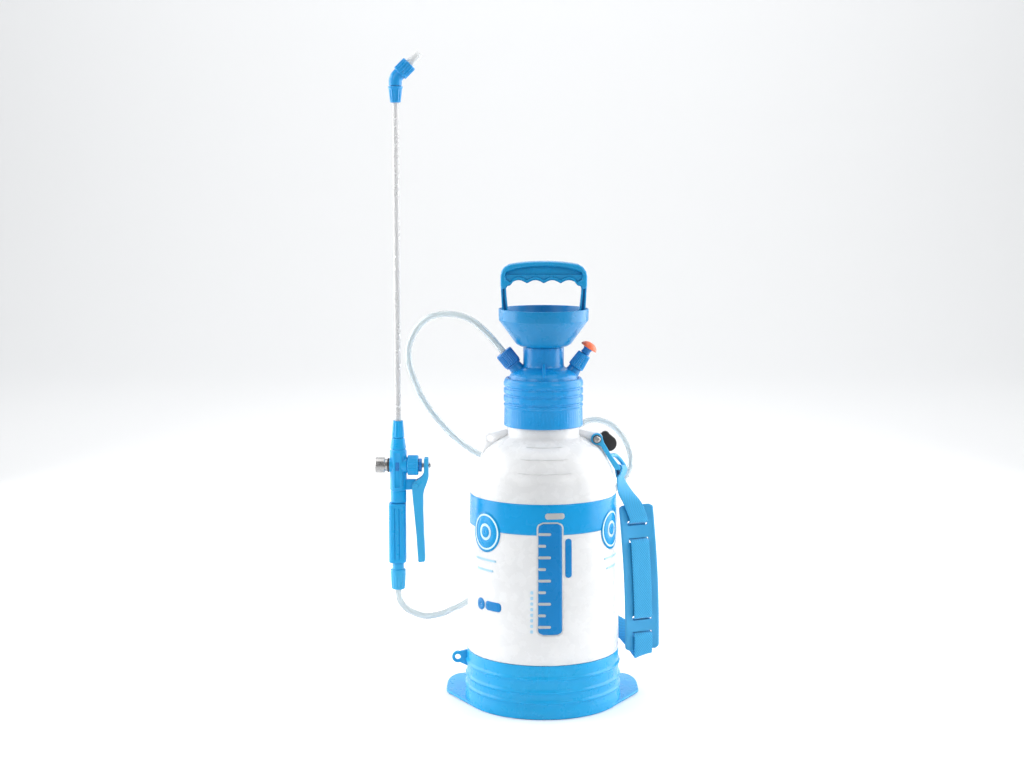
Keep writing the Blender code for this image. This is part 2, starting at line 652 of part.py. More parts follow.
def hose_route():
    """The hose from the head's outlet, twice behind the tank, to the handle."""
    route = [tuple(HOSE_PORT + HOSE_AXIS * step) for step in (10.0, 17.0, 24.0)]
    route += [
        (-60.2, 3.0, 402.4), (-74.2, 6.0, 414.7), (-88.2, 9.0, 421.4), (-105.0, 13.0, 423.5),
        (-120.6, 18.0, 420.6), (-132.1, 23.0, 413.2), (-141.6, 28.0, 400.8), (-146.9, 32.0, 387.6),
        (-148.3, 35.0, 375.9), (-146.7, 38.0, 362.6), (-142.7, 41.0, 349.5), (-135.2, 45.0, 330.3),
        (-125.5, 49.0, 313.8), (-114.2, 53.0, 298.8), (-101.5, 57.0, 284.3), (-87.3, 62.0, 271.2),
        (-68.7, 70.0, 258.9), (-45.0, 83.0, 253.0), (-12.0, 95.0, 258.0), (20.0, 98.0, 275.0),
        (46.9, 95.0, 291.8), (57.2, 90.0, 296.1), (68.6, 85.0, 295.6), (80.0, 80.0, 290.5),
        (91.4, 75.0, 278.5), (99.1, 72.0, 262.0), (98.9, 74.0, 242.6), (86.8, 85.0, 220.5),
        (65.0, 95.0, 200.0), (35.0, 102.0, 176.0), (0.0, 104.0, 151.0), (-35.0, 98.0, 127.0),
        (-65.0, 76.0, 106.0), (-85.6, 48.0, 94.4), (-101.9, 30.0, 90.4), (-113.4, 18.0, 88.6),
        (-128.8, 8.0, 88.7), (-141.9, 3.0, 93.7), (-152.0, 1.0, 100.4), (-157.4, 0.0, 109.0),
        (LANCE_X - 1.0, 0.0, 118.0), (LANCE_X - 1.0, 0.0, HOSE_END),
    ]
    return route


def hose(colour):
    return tube("hose", smooth_route(hose_route(), 17.0), HOSE_RADIUS, colour, 2)


# ---- strap ----

def pad_point(z, side, out):
    """A point of the pad: its height, its place across it and off its face."""
    along = (PAD_TOP.z - z) / (PAD_TOP.z - PAD_BOTTOM.z)
    centre = PAD_TOP.lerp(PAD_BOTTOM, along)
    bow = -5.0 * math.sin(math.pi * min(1.0, max(0.0, along)))
    across = Vector((math.cos(PAD_TURN), math.sin(PAD_TURN), 0.0))
    outward = Vector((math.sin(PAD_TURN), -math.cos(PAD_TURN), 0.0))
    return centre + across * side + outward * (out - bow)


def ribbon(name, rows, thick, colour):
    """A flat band: each row gives the two points of one cross-line."""
    mesh = bpy.data.meshes.new(name)
    shape = bmesh.new()
    count = len(rows)
    bmesh.ops.create_grid(shape, x_segments=1, y_segments=count - 1, size=1.0)
    for vertex in shape.verts:
        row = rows[round((vertex.co.y + 1.0) / 2.0 * (count - 1))]
        vertex.co = row[0 if vertex.co.x < 0.0 else 1] * MM
    shape.to_mesh(mesh)
    shape.free()
    item = add(name, mesh, colour)
    solidify = item.modifiers.new("thickness", "SOLIDIFY")
    solidify.thickness = thick * MM
    solidify.offset = 0.0
    return item


def shoulder_pad(colour):
    rows = []
    for step in range(13):
        z = PAD_TOP.z + (PAD_BOTTOM.z - PAD_TOP.z) * step / 12.0
        half = PAD_WIDTH / 2.0
        rows.append((pad_point(z, -half, 0.0), pad_point(z, half, 0.0)))
    pad = ribbon("shoulder_pad", rows, PAD_THICK, colour)
    for height in SLOT_HEIGHTS:
        slot = block("pad_slot", (WEB_WIDTH + 2.0, 12.0, 5.0), (0.0, 0.0, 0.0), colour)
        middle = pad_point(height, 0.0, 0.0) * MM
        slot.matrix_world = Matrix.Translation(middle) @ Matrix.Rotation(PAD_TURN, 4, "Z")
        cut(pad, slot)
    return pad


def strap_webbing(colour):
    """One band: link bar, twice through the pad, round its end, to the rear eyelet."""
    half = WEB_WIDTH / 2.0
    turned_in = LINK_ALONG
    flat = Vector((math.cos(PAD_TURN), math.sin(PAD_TURN), 0.0))
    rows = []
    down = Vector((0.0, -0.21, -0.98)).normalized()
    outward = down.cross(turned_in).normalized()
    wrap = (
        (10.0, -2.2), (5.0, -3.1), (0.0, -3.6), (-2.6, -2.6),
        (-3.6, 0.0), (-2.6, 2.6), (0.0, 3.6), (6.0, 1.8),
    )
    for fall, out in wrap:
        centre = LINK_BAR + down * fall + outward * out
        rows.append((centre - turned_in * half, centre + turned_in * half))
    for share, x, y, z in ((0.12, 84.9, 4.5, 243.5), (0.6, 89.4, -2.8, 230.4), (1.0, 97.0, -5.1, 218.5)):
        side = turned_in.lerp(flat, share).normalized() * half
        centre = Vector((x, y, z))
        rows.append((centre - side, centre + side))
    level = 3.0
    first, second, third, fourth = SLOT_HEIGHTS
    stops = [(first + 7.0, level)]
    for high, low in ((first, second), (third, fourth)):
        stops += [(high + 2.0, level), (high - 2.0, -level)]
        stops += [((high + low) / 2.0, -level), (low + 2.0, -level), (low - 2.0, level)]
        if low == second:
            stops += [(low - step * (second - third) / 5.0, level) for step in (1, 2, 3, 4)]
    stops += [(PAD_BOTTOM.z + 3.0, level)]
    for z, out in stops:
        rows.append((pad_point(z, -half, out), pad_point(z, half, out)))
    rows += rear_rows(half)
    return ribbon("strap_webbing", rows, WEB_THICK, colour)


def rear_rows(half):
    """The band's last run, from under the pad round the tank to the eyelet."""
    rows = []
    stops = (
        (110.4, -1.5, 48.2, (0.90, 0.36, 0.10)),
        (111.0, 4.0, 47.0, (0.86, 0.34, 0.36)),
        (107.5, 14.0, 50.5, (0.66, 0.14, 0.74)),
        (100.0, 28.0, 57.5, (0.55, -0.02, 0.83)),
        (88.0, 46.0, 66.0, (0.42, -0.1, 0.9)),
        (72.0, 64.0, 68.0, (0.2, 0.0, 0.98)),
        (52.0, 81.0, 56.0, (0.0, 0.0, 1.0)),
        (28.4, 93.0, 47.0, (0.0, 0.0, 1.0)),
    )
    for x, y, z, side in stops:
        across = Vector(side).normalized() * half
        centre = Vector((x, y, z))
        rows.append((centre - across, centre + across))
    return rows


def strap_parts(blue, steel, black):
    z = EYELET_Z
    toward_back = aim(Vector((EYELET_X, 0.0, z)), Vector((0.0, 1.0, 0.0)))
    screw = [(0.0, 12.0), (2.0, 12.0), (2.0, -8.9), (3.8, -8.9), (3.8, -9.9), (2.8, -10.9), (0.0, -11.3)]
    solid("strap_screw", screw, steel, toward_back, SMALL_ROUND)
    sleeve("strap_washer", 2.4, 4.6, -8.6, -7.6, steel, toward_back, SMALL_ROUND)
    lobe = arc(9.6, 2.5, 4.7, 150.0, 20.0, 6) + arc(13.6, -6.6, 8.6, 45.0, -145.0, 12)
    lobe += arc(0.0, 0.0, 5.0, 270.0, 110.0, 8)
    nut = outline("thumb_nut", [lobe, circle(0.0, 0.0, 2.3, 16)], 5.4, black, UPRIGHT)
    nut.location = Vector((EYELET_X, 5.8, z)) * MM
    link = arc(EYELET_X, z, 6.4, 5.0, 275.0, 18)
    link += [(62.4, 281.0), (68.6, 270.5), (78.2, 254.8), (84.2, 257.2), (73.4, 272.0), (66.0, 284.6)]
    strap_link = outline("strap_link", [link, circle(EYELET_X, z, 2.5, 20)], 4.0, blue, UPRIGHT)
    strap_link.location = Vector((0.0, -5.1, 0.0)) * MM
    loop = [
        (80.9, -5.1, 256.8), (90.2, 22.0, 251.0), (87.2, 22.0, 258.4), (80.0, 14.0, 267.3),
        (71.0, -4.6, 270.5),
    ]
    join(strap_link, tube("link_bar", loop, 2.4, blue, 2))
    return strap_link


def build():
    for item in list(bpy.data.objects):
        bpy.data.objects.remove(item, do_unlink=True)
    for group in (parts, cutters):
        bpy.context.scene.collection.children.link(group)
    light = ((0.16, 0.48, 0.82), 0.35, 0.0)
    deep = ((0.03, 0.25, 0.62), 0.35, 0.0)
    white = ((0.88, 0.89, 0.90), 0.4, 0.0)
    clear = ((0.82, 0.90, 0.93), 0.2, 0.0)
    rubber = ((0.03, 0.03, 0.03), 0.7, 0.0)
    steel = ((0.75, 0.75, 0.77), 0.25, 1.0)
    orange = ((0.86, 0.26, 0.13), 0.4, 0.0)
    woven = ((0.07, 0.50, 0.82), 0.85, 0.0)
    base_foot(light)
    tank_shell(white)
    neck_gasket(rubber)
    head_collar(light)
    head_body(deep)
    funnel(light)
    outlet_parts(deep, rubber)
    relief_parts(deep, orange, steel, rubber)
    pump_parts(deep, white, rubber, steel)
    pump_handle(light)
    pickup_parts(white, light)
    valve_handle(light)
    cross_parts(light, steel, rubber)
    trigger(light)
    trigger_pin(light)
    grip_parts(light, white, rubber)
    lance_parts(light, white, clear, rubber)
    hose(clear)
    shoulder_pad(light)
    strap_webbing(woven)
    strap_parts(light, steel, rubber)
    for item in parts.objects:
        smooth(item.data)


build()
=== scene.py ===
import json
import math

import bmesh
import bpy
from mathutils import Matrix, Vector


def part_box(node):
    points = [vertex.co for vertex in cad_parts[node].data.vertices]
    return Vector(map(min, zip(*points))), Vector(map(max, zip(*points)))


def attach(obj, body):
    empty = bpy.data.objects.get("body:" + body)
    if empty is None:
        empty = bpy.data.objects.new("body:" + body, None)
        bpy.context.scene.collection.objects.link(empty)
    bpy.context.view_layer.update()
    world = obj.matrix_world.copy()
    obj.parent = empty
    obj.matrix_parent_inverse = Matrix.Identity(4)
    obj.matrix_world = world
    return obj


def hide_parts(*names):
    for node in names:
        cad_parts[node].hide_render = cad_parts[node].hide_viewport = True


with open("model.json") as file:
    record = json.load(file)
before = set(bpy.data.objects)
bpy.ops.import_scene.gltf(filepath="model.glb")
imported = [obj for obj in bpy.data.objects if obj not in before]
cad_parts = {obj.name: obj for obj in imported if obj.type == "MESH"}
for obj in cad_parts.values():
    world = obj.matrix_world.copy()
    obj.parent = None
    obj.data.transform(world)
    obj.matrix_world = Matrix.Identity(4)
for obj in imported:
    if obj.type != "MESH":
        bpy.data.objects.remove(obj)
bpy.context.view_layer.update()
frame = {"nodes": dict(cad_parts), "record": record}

mm = 0.001
print("sprayer: frame loaded")


def middle(node):
    low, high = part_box(node)
    return (Vector(low) + Vector(high)) / 2 / mm


def jointFacts(name):
    return next(j for j in frame["record"]["behaviour"]["joints"] if j["name"] == name)


lanceX = middle("lance_tube").x                  # the upright lance's axis
crossZ = middle("inlet_plug").z                  # the valve's cross axis
pivot = Vector(jointFacts("trigger_squeeze")["pos_m"]) / mm
elbowZ = jointFacts("nozzle_turn")["pos_m"][2] / mm
eyelet = Vector(jointFacts("strap_nut_turn")["pos_m"]) / mm
valveAxis = Vector(jointFacts("relief_pull")["axis"]).normalized()
valveStart = Vector((34.7, 0.0, 366.9))
hoseAxis = Vector((-0.63, 0.0, 0.777)).normalized()
hoseStart = Vector((-33.2, 0.0, 370.6))
upright = Matrix.Rotation(math.radians(90), 4, "X")     # turns a flat outline to face the front


# finishes
def shaderOf(name):
    paint = bpy.data.materials.new(name)
    paint.use_nodes = True
    return paint, paint.node_tree, paint.node_tree.nodes["Principled BSDF"]


def node(tree, kind, **values):
    made = tree.nodes.new(kind)
    for key, value in values.items():
        if key in made.inputs:
            made.inputs[key].default_value = value
        else:
            setattr(made, key, value)
    return made


def noiseFrom(tree, scale, detail=3.0, stretch=(1, 1, 1)):
    where = node(tree, "ShaderNodeTexCoord")
    sized = node(tree, "ShaderNodeMapping")
    sized.inputs["Scale"].default_value = stretch
    noise = node(tree, "ShaderNodeTexNoise", Scale=scale, Detail=detail)
    tree.links.new(where.outputs["Object"], sized.inputs["Vector"])
    tree.links.new(sized.outputs["Vector"], noise.inputs["Vector"])
    return noise.outputs["Fac"]


def tune(shader, values):
    for key, value in values.items():
        shader.inputs[key].default_value = value


def rangeOf(tree, source, low, high, fromLow=0.3, fromHigh=0.7):
    ranged = node(tree, "ShaderNodeMapRange")
    tune(ranged, {"From Min": fromLow, "From Max": fromHigh, "To Min": low, "To Max": high})
    tree.links.new(source, ranged.inputs["Value"])
    return ranged.outputs["Result"]


def blendColours(tree, source, first, second):
    mixed = node(tree, "ShaderNodeMix", data_type="RGBA")
    mixed.inputs[6].default_value = (*first, 1)
    mixed.inputs[7].default_value = (*second, 1)
    tree.links.new(source, mixed.inputs[0])
    return mixed.outputs[2]


def bumpFrom(tree, shader, source, strength, distance):
    bump = node(tree, "ShaderNodeBump", Strength=strength, Distance=distance)
    tree.links.new(source, bump.inputs["Height"])
    tree.links.new(bump.outputs["Normal"], shader.inputs["Normal"])


def edgeMask(tree):
    shape = node(tree, "ShaderNodeNewGeometry")
    return rangeOf(tree, shape.outputs["Pointiness"], 0, 1, 0.52, 0.6)


def cloudy(tree, shader, scale, first, second):
    source = rangeOf(tree, noiseFrom(tree, scale), 0, 1)
    tree.links.new(blendColours(tree, source, first, second), shader.inputs["Base Color"])


def dulled(tree, shader, scale, low, high, detail=3.0):
    source = rangeOf(tree, noiseFrom(tree, scale, detail), low, high)
    tree.links.new(source, shader.inputs["Roughness"])


def plastic(name, colour, rough=0.3, depth=0.0, grain=0.02, worn=0.2, reach=0.006, gloss=0.5):
    # a moulded plastic: cloudy colour, fine grain, slightly paler edges
    paint, tree, shader = shaderOf(name)
    dark = tuple(c * 0.95 for c in colour)
    pale = tuple(min(1, c * 1.04) for c in colour)
    clouds = blendColours(tree, rangeOf(tree, noiseFrom(tree, 28), 0, 1), dark, pale)
    edge = node(tree, "ShaderNodeMix", data_type="RGBA")
    edge.inputs[7].default_value = (*(min(1, c * 1.1 + 0.06) for c in colour), 1)
    strength = node(tree, "ShaderNodeMath", operation="MULTIPLY")
    strength.inputs[1].default_value = worn
    tree.links.new(edgeMask(tree), strength.inputs[0])
    tree.links.new(strength.outputs[0], edge.inputs[0])
    tree.links.new(clouds, edge.inputs[6])
    tree.links.new(edge.outputs[2], shader.inputs["Base Color"])
    dulled(tree, shader, 90, rough * 0.85, rough * 1.25)
    bumpFrom(tree, shader, noiseFrom(tree, 700, 2), grain, 0.0002)
    tune(shader, {"IOR": 1.5, "Specular IOR Level": gloss})
    if depth:
        tune(shader, {
            "Subsurface Weight": depth, "Subsurface Radius": (1, 0.95, 0.9), "Subsurface Scale": reach,
        })
    return paint


def clearPlastic(name, colour, rough, through, grain=0.01):
    # a moulded plastic that lets some light through
    paint, tree, shader = shaderOf(name)
    pale = tuple(min(1, c * 1.03) for c in colour)
    cloudy(tree, shader, 40, colour, pale)
    dulled(tree, shader, 120, rough * 0.8, rough * 1.4)
    bumpFrom(tree, shader, noiseFrom(tree, 500, 2), grain, 0.0003)
    tune(shader, {"Transmission Weight": through, "IOR": 1.4})
    return paint


def steel(name, colour, rough=0.22):
    # bright turned metal with fine tool marks round the axis
    paint, tree, shader = shaderOf(name)
    dull = tuple(c * 0.8 for c in colour)
    cloudy(tree, shader, 150, dull, colour)
    dulled(tree, shader, 260, rough * 0.7, rough * 1.6, 4)
    bumpFrom(tree, shader, noiseFrom(tree, 700, 1, (6, 1, 1)), 0.12, 0.0002)
    tune(shader, {"Metallic": 1})
    return paint


def rubber(name):
    paint, tree, shader = shaderOf(name)
    colour = (0.02, 0.02, 0.021)
    grey = tuple(c * 2.2 for c in colour)
    cloudy(tree, shader, 200, colour, grey)
    dulled(tree, shader, 300, 0.45, 0.7)
    bumpFrom(tree, shader, noiseFrom(tree, 1200, 2), 0.15, 0.0003)
    return paint


def webbingWeave(name, colour):
    # a plain weave from the band's own lengths: across it and along it, in metres
    paint, tree, shader = shaderOf(name)
    uv = node(tree, "ShaderNodeUVMap", uv_map="weave")
    split = node(tree, "ShaderNodeSeparateXYZ")
    tree.links.new(uv.outputs["UV"], split.inputs["Vector"])
    threads = []
    for axis, pitch in (("X", 0.0011), ("Y", 0.0016)):
        angle = node(tree, "ShaderNodeMath", operation="MULTIPLY")
        angle.inputs[1].default_value = math.pi / pitch
        wave = node(tree, "ShaderNodeMath", operation="SINE")
        tree.links.new(split.outputs[axis], angle.inputs[0])
        tree.links.new(angle.outputs[0], wave.inputs[0])
        threads.append(wave.outputs[0])
    crossed = node(tree, "ShaderNodeMath", operation="MULTIPLY")
    tree.links.new(threads[0], crossed.inputs[0])
    tree.links.new(threads[1], crossed.inputs[1])
    height = rangeOf(tree, crossed.outputs[0], 0, 1, -1, 1)
    # painted shade: the low points of the weave are coloured darker, standing in for shade in the hollows
    # between the threads
    dark = tuple(c * 0.55 for c in colour)
    tree.links.new(blendColours(tree, height, dark, colour), shader.inputs["Base Color"])
    tune(shader, {"Roughness": 0.75, "Sheen Weight": 0.3})
    bumpFrom(tree, shader, height, 0.5, 0.0004)
    return paint


skyPlastic = plastic("skyPlastic", (0.006, 0.27, 0.64), 0.28, gloss=0.4)
conePlastic = plastic("conePlastic", (0.003, 0.225, 0.51), 0.28, gloss=0.4)
basePlastic = plastic("basePlastic", (0.004, 0.36, 0.72), 0.28, gloss=0.4)
gripPlastic = plastic("gripPlastic", (0.004, 0.35, 0.74), 0.30, gloss=0.4)
handlePlastic = plastic("handlePlastic", (0.004, 0.29, 0.60), 0.28, gloss=0.4)
leverPlastic = plastic("leverPlastic", (0.03, 0.39, 0.72), 0.32, gloss=0.4)
deepPlastic = plastic("deepPlastic", (0.004, 0.19, 0.55), 0.28)
columnPlastic = plastic("columnPlastic", (0.003, 0.23, 0.57), 0.28)
tankPlastic = plastic("tankPlastic", (0.83, 0.835, 0.84), 0.26, 0.5, 0.01, 0, 0.012)
whitePlastic = plastic("whitePlastic", (0.84, 0.84, 0.84), 0.3, 0.15, 0.02, 0)
bandInk = plastic("bandInk", (0.0, 0.30, 0.66), 0.24, 0, 0.01, 0, gloss=0.25)
barInk = plastic("barInk", (0.0, 0.20, 0.52), 0.28, 0, 0.01, 0, gloss=0.25)
paleInk = plastic("paleInk", (0.62, 0.84, 0.94), 0.3, 0, 0.01, 0)
greyInk = plastic("greyInk", (0.36, 0.62, 0.80), 0.3, 0, 0.01, 0)
orangePlastic = plastic("orangePlastic", (0.90, 0.16, 0.06), 0.28)
padPlastic = plastic("padPlastic", (0.03, 0.33, 0.64), 0.42, 0, 0.06)
hoseVinyl = clearPlastic("hoseVinyl", (0.80, 0.86, 0.88), 0.12, 0.7)
lancePlastic = clearPlastic("lancePlastic", (0.84, 0.845, 0.85), 0.22, 0.5)
nozzleClear = clearPlastic("nozzleClear", (0.92, 0.94, 0.95), 0.2, 0.4, 0.02)
brightSteel = steel("brightSteel", (0.46, 0.455, 0.45), 0.26)
blackRubber = rubber("blackRubber")
blackPlastic = plastic("blackPlastic", (0.018, 0.018, 0.019), 0.38, 0, 0.05, 0.15)
blueWebbing = webbingWeave("blueWebbing", (0.035, 0.46, 0.88))
print("sprayer: finishes made")


# shaping
def standing(name, data):
    thing = bpy.data.objects.new(name, data)
    bpy.context.scene.collection.objects.link(thing)
    return thing


def settled(thing):
    # the mesh a thing has once its curves or cuts are worked out
    bpy.context.view_layer.update()
    return bpy.data.meshes.new_from_object(thing.evaluated_get(bpy.context.evaluated_depsgraph_get()))


def place(name, mesh, paint, body="root", replaced=()):
    piece = standing(name, mesh)
    mesh.materials.clear()
    mesh.materials.append(paint)
    mesh.shade_smooth()
    mesh.set_sharp_from_angle(angle=math.radians(38))
    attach(piece, body)
    if replaced:
        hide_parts(*replaced)
    return piece


def softened(profile, radius, closed, steps=3):
    # rounds each corner of a profile with a small curve
    points = [Vector(p) for p in profile]
    rounded = []
    for i, corner in enumerate(points):
        if not closed and i in (0, len(points) - 1):
            rounded.append(corner)
            continue
        before = points[i - 1] - corner
        after = points[(i + 1) % len(points)] - corner
        if before.length < 1e-6 or after.length < 1e-6:
            continue
        cut = min(radius, before.length * 0.45, after.length * 0.45)
        start = corner + before.normalized() * cut
        end = corner + after.normalized() * cut
        for step in range(steps + 1):
            t = step / steps
            rounded.append(start * (1 - t) ** 2 + corner * 2 * t * (1 - t) + end * t * t)
    return rounded


def lathe(name, profile, steps, ring, soft, where=None, relief=None):
    # turns a profile of radius and height in mm round Z; relief(angle, height, radius) lowers it
    points = softened(profile, soft, ring)
    shape = bmesh.new()
    rows = []
    for radius, height in points:
        if radius < 1e-4:
            rows.append([shape.verts.new((0, 0, height * mm))])
            continue
        row = []
        for step in range(steps):
            angle = math.tau * step / steps
            r = radius - (relief(angle, height, radius) if relief else 0)
            row.append(shape.verts.new((r * math.cos(angle) * mm, r * math.sin(angle) * mm, height * mm)))
        rows.append(row)
    pairs = list(zip(rows, rows[1:])) + ([(rows[-1], rows[0])] if ring else [])
    for upper, lower in pairs:
        for step in range(steps):
            beside = (step + 1) % steps
            corners = [upper[step % len(upper)], lower[step % len(lower)]]
            if len(lower) > 1:
                corners.append(lower[beside])
            if len(upper) > 1:
                corners.append(upper[beside])
            if len(corners) > 2:
                shape.faces.new(corners)
    return closeMesh(name, shape, where)


def meshOf(name, shape):
    mesh = bpy.data.meshes.new(name)
    shape.to_mesh(mesh)
    shape.free()
    return mesh


def closeMesh(name, shape, where=None):
    bmesh.ops.recalc_face_normals(shape, faces=shape.faces)
    if where is not None:
        bmesh.ops.transform(shape, matrix=where, verts=shape.verts)
    return meshOf(name, shape)


def turned(name, profile, paint, nodes, where, slotName="blue_plastic", body="root", **given):
    # a turned piece, put straight onto its body
    steps, ring, soft = given.get("steps", 56), given.get("ring", True), given.get("soft", 0.3)
    mesh = lathe(name, profile, steps, ring, soft, where)
    return place(name, mesh, paint, body, nodes)


def skin(shape, rows, closed=True):
    # faces between neighbouring rows of points
    for first, second in zip(rows, rows[1:]):
        count = len(first)
        for i in range(count if closed else count - 1):
            j = (i + 1) % count
            shape.faces.new((first[i], first[j], second[j], second[i]))


def capEnds(shape, rows):
    shape.faces.new(rows[0])
    shape.faces.new(rows[-1])


def aim(start, direction):
    turn = direction.to_track_quat("Z", "Y").to_matrix().to_4x4()
    return Matrix.Translation(start * mm) @ turn


def at(x, y, z):
    return Matrix.Translation(Vector((x, y, z)) * mm)


def slab(name, loops, thick, edge, where=None):
    # a flat outline of the given thickness with rounded rims
    curve = bpy.data.curves.new(name, "CURVE")
    curve.dimensions = "2D"
    curve.fill_mode = "BOTH"
    curve.extrude = (thick / 2 - edge) * mm
    curve.bevel_depth = edge * mm
    curve.bevel_resolution = 2
    curve.offset = -edge * mm
    for loop in loops:
        spline = curve.splines.new("POLY")
        spline.points.add(len(loop) - 1)
        for point, (x, y) in zip(spline.points, loop):
            point.co = (x * mm, y * mm, 0, 1)
        spline.use_cyclic_u = True
    holder = standing(name, curve)
    mesh = settled(holder)
    bpy.data.objects.remove(holder, do_unlink=True)
    shape = bmesh.new()
    shape.from_mesh(mesh)
    bmesh.ops.remove_doubles(shape, verts=shape.verts, dist=0.000005)
    return closeMesh(name, shape, where)


def arc(x, y, radius, start, end, count):
    turns = [math.radians(start + (end - start) * step / count) for step in range(count + 1)]
    return [(x + radius * math.cos(turn), y + radius * math.sin(turn)) for turn in turns]


def circle(x, y, radius, count=40):
    return arc(x, y, radius, 0, 360, count)[:-1]


def roundedLoop(points, radius, steps=5):
    return [tuple(p) for p in softened(points, radius, True, steps)]


def carve(mesh, tools):
    # cuts boxes or turned shapes out of a mesh, then drops them
    body = standing("carved", mesh)
    cutters = [standing("carver", tool) for tool in tools]
    for cutter in cutters:
        cut = body.modifiers.new("cut", "BOOLEAN")
        cut.operation = "DIFFERENCE"
        cut.solver = "EXACT"
        cut.object = cutter
    made = settled(body)
    for thing in [body, *cutters]:
        bpy.data.objects.remove(thing, do_unlink=True)
    return made


def boxMesh(size, where, round=0.0):
    shape = bmesh.new()
    bmesh.ops.create_cube(shape, size=1.0, matrix=Matrix.Diagonal((*(Vector(size) * mm), 1)))
    if round:
        edges = shape.edges[:]
        bmesh.ops.bevel(shape, geom=edges, offset=round * mm, segments=3, affect="EDGES", profile=0.5)
    return closeMesh("box", shape, where)


def joined(name, meshes):
    shape = bmesh.new()
    for mesh in meshes:
        shape.from_mesh(mesh)
    return closeMesh(name, shape)


def between(a, b, c, d, t):
    # a point from b to c on the smooth curve through all four
    bend = (2 * a - 5 * b + 4 * c - d) * t**2
    twist = (3 * b - a - 3 * c + d) * t**3
    return 0.5 * (2 * b + (c - a) * t + bend + twist)


def smoothRoute(route, spacing):
    # evenly spaced points on the smooth curve through a route, and its length
    knots = [Vector(p) for p in route]
    knots = [2 * knots[0] - knots[1]] + knots + [2 * knots[-1] - knots[-2]]
    fine = []
    for i in range(1, len(knots) - 2):
        for step in range(20):
            fine.append(between(*knots[i - 1 : i + 3], step / 20))
    fine.append(knots[-2])
    length = sum((q - p).length for p, q in zip(fine, fine[1:]))
    count = max(2, round(length / spacing))
    points, travelled = [fine[0]], 0.0
    for p, q in zip(fine, fine[1:]):
        travelled += (q - p).length
        if travelled >= len(points) * length / count and len(points) < count:
            points.append(q)
    points.append(fine[-1])
    return points, length


def pipe(name, points, radii, bore=0.0, sides=24):
    # a round pipe through points in mm, with one radius or one for each point, and an open bore
    count = len(points)
    if not hasattr(radii, "__len__"):
        radii = [radii] * count
    steps = [points[min(i + 1, count - 1)] - points[max(i - 1, 0)] for i in range(count)]
    tangents = [step.normalized() for step in steps]
    side = tangents[0].orthogonal().normalized()
    shape = bmesh.new()
    walls = {"outer": [], "inner": []}
    for i, point in enumerate(points):
        side = (side - tangents[i] * side.dot(tangents[i])).normalized()
        up = tangents[i].cross(side)
        for wall, radius in (("outer", radii[i]), ("inner", bore)):
            if radius:
                row = []
                for step in range(sides):
                    angle = math.tau * step / sides
                    out = side * math.cos(angle) + up * math.sin(angle)
                    row.append(shape.verts.new((point + out * radius) * mm))
                walls[wall].append(row)
    for rows in walls.values():
        skin(shape, rows)
    for end in (0, -1):
        outer = walls["outer"][end]
        if not bore:
            shape.faces.new(outer)
            continue
        skin(shape, (outer, walls["inner"][end]))
    return closeMesh(name, shape)


def ribs(count, depth, low, high, sharp=1.0):
    # evenly spaced grooves round a nut between two heights, fading at their ends
    def relief(angle, height, radius):
        if not low <= height <= high:
            return 0
        fade = min(1, (height - low) / 0.8, (high - height) / 0.8)
        wave = 0.5 - 0.5 * math.cos(angle * count)
        return depth * fade * wave**sharp
    return relief


def ribbedProfile(profile, side, steps=6):
    # adds rows along a nut's straight outer side so that its ribs have somewhere to fade
    rows = []
    for start, end in zip(profile, profile[1:]):
        rows.append(start)
        if start == side:
            for step in range(1, steps):
                t = step / steps
                rows.append(tuple(Vector(start).lerp(Vector(end), t)))
    return rows + [profile[-1]]


# camera and light
view = {"place": (-0.0341, -1.9, 0.585), "pitch": 82.9, "lens": 62.1}
camera = standing("camera", bpy.data.cameras.new("camera"))
camera.location = view["place"]
camera.rotation_euler = (math.radians(view["pitch"]), 0, 0)
camera.data.lens = view["lens"]
camera.data.sensor_width = 36
bpy.context.scene.camera = camera
bpy.context.scene.view_settings.view_transform = "Standard"


def softLight(name, spot, target, size, power):
    lamp = bpy.data.lights.new(name, "AREA")
    lamp.shape = "RECTANGLE"
    lamp.size, lamp.size_y = size
    lamp.energy = power
    holder = standing(name, lamp)
    holder.location = spot
    holder.rotation_euler = (Vector(target) - Vector(spot)).to_track_quat("-Z", "Y").to_euler()


studio = {"world": 0.32, "side": 24, "front": 8.6, "top": 22, "back": 80}
for side, word in ((-1, "left"), (1, "right")):
    softLight(word + "Box", (side * 1.15, 0.35, 0.5), (0, 0.1, 0.35), (1.5, 1.5), studio["side"])
    softLight(word + "Front", (side * 1.3, -1.6, 1.3), (0, 0, 0.3), (0.8, 0.8), studio["front"])
softLight("topBox", (0, 0.1, 2.2), (0, 0, 0), (2, 2), studio["top"])
softLight("backBox", (0, 1.4, 3.2), (0, 4.5, 1.5), (3, 1), studio["back"])
world = bpy.data.worlds.new("studio")
world.use_nodes = True
tune(world.node_tree.nodes["Background"], {"Color": (1, 1, 1, 1), "Strength": studio["world"]})
bpy.context.scene.world = world


def makeFloor():
    # a pale sweep: floor, a wide curve and a wall behind
    shape = bmesh.new()
    line = [(-6, 0), (3, 0)]
    line += arc(3, 1.5, 1.5, -80, 0, 8)
    line += [(4.5, 6)]
    rows = [[shape.verts.new((x, y, z - 0.0005)) for x in (-7, 7)] for y, z in line]
    skin(shape, rows, False)
    mesh = meshOf("sweep", shape)
    paint, tree, shader = shaderOf("sweepPaper")
    tune(shader, {"Base Color": (0.93, 0.94, 0.95, 1)})
    dulled(tree, shader, 3, 0.75, 0.85)
    mesh.materials.append(paint)
    mesh.shade_smooth()
    standing("sweep", mesh)


makeFloor()
print("sprayer: camera and light set")

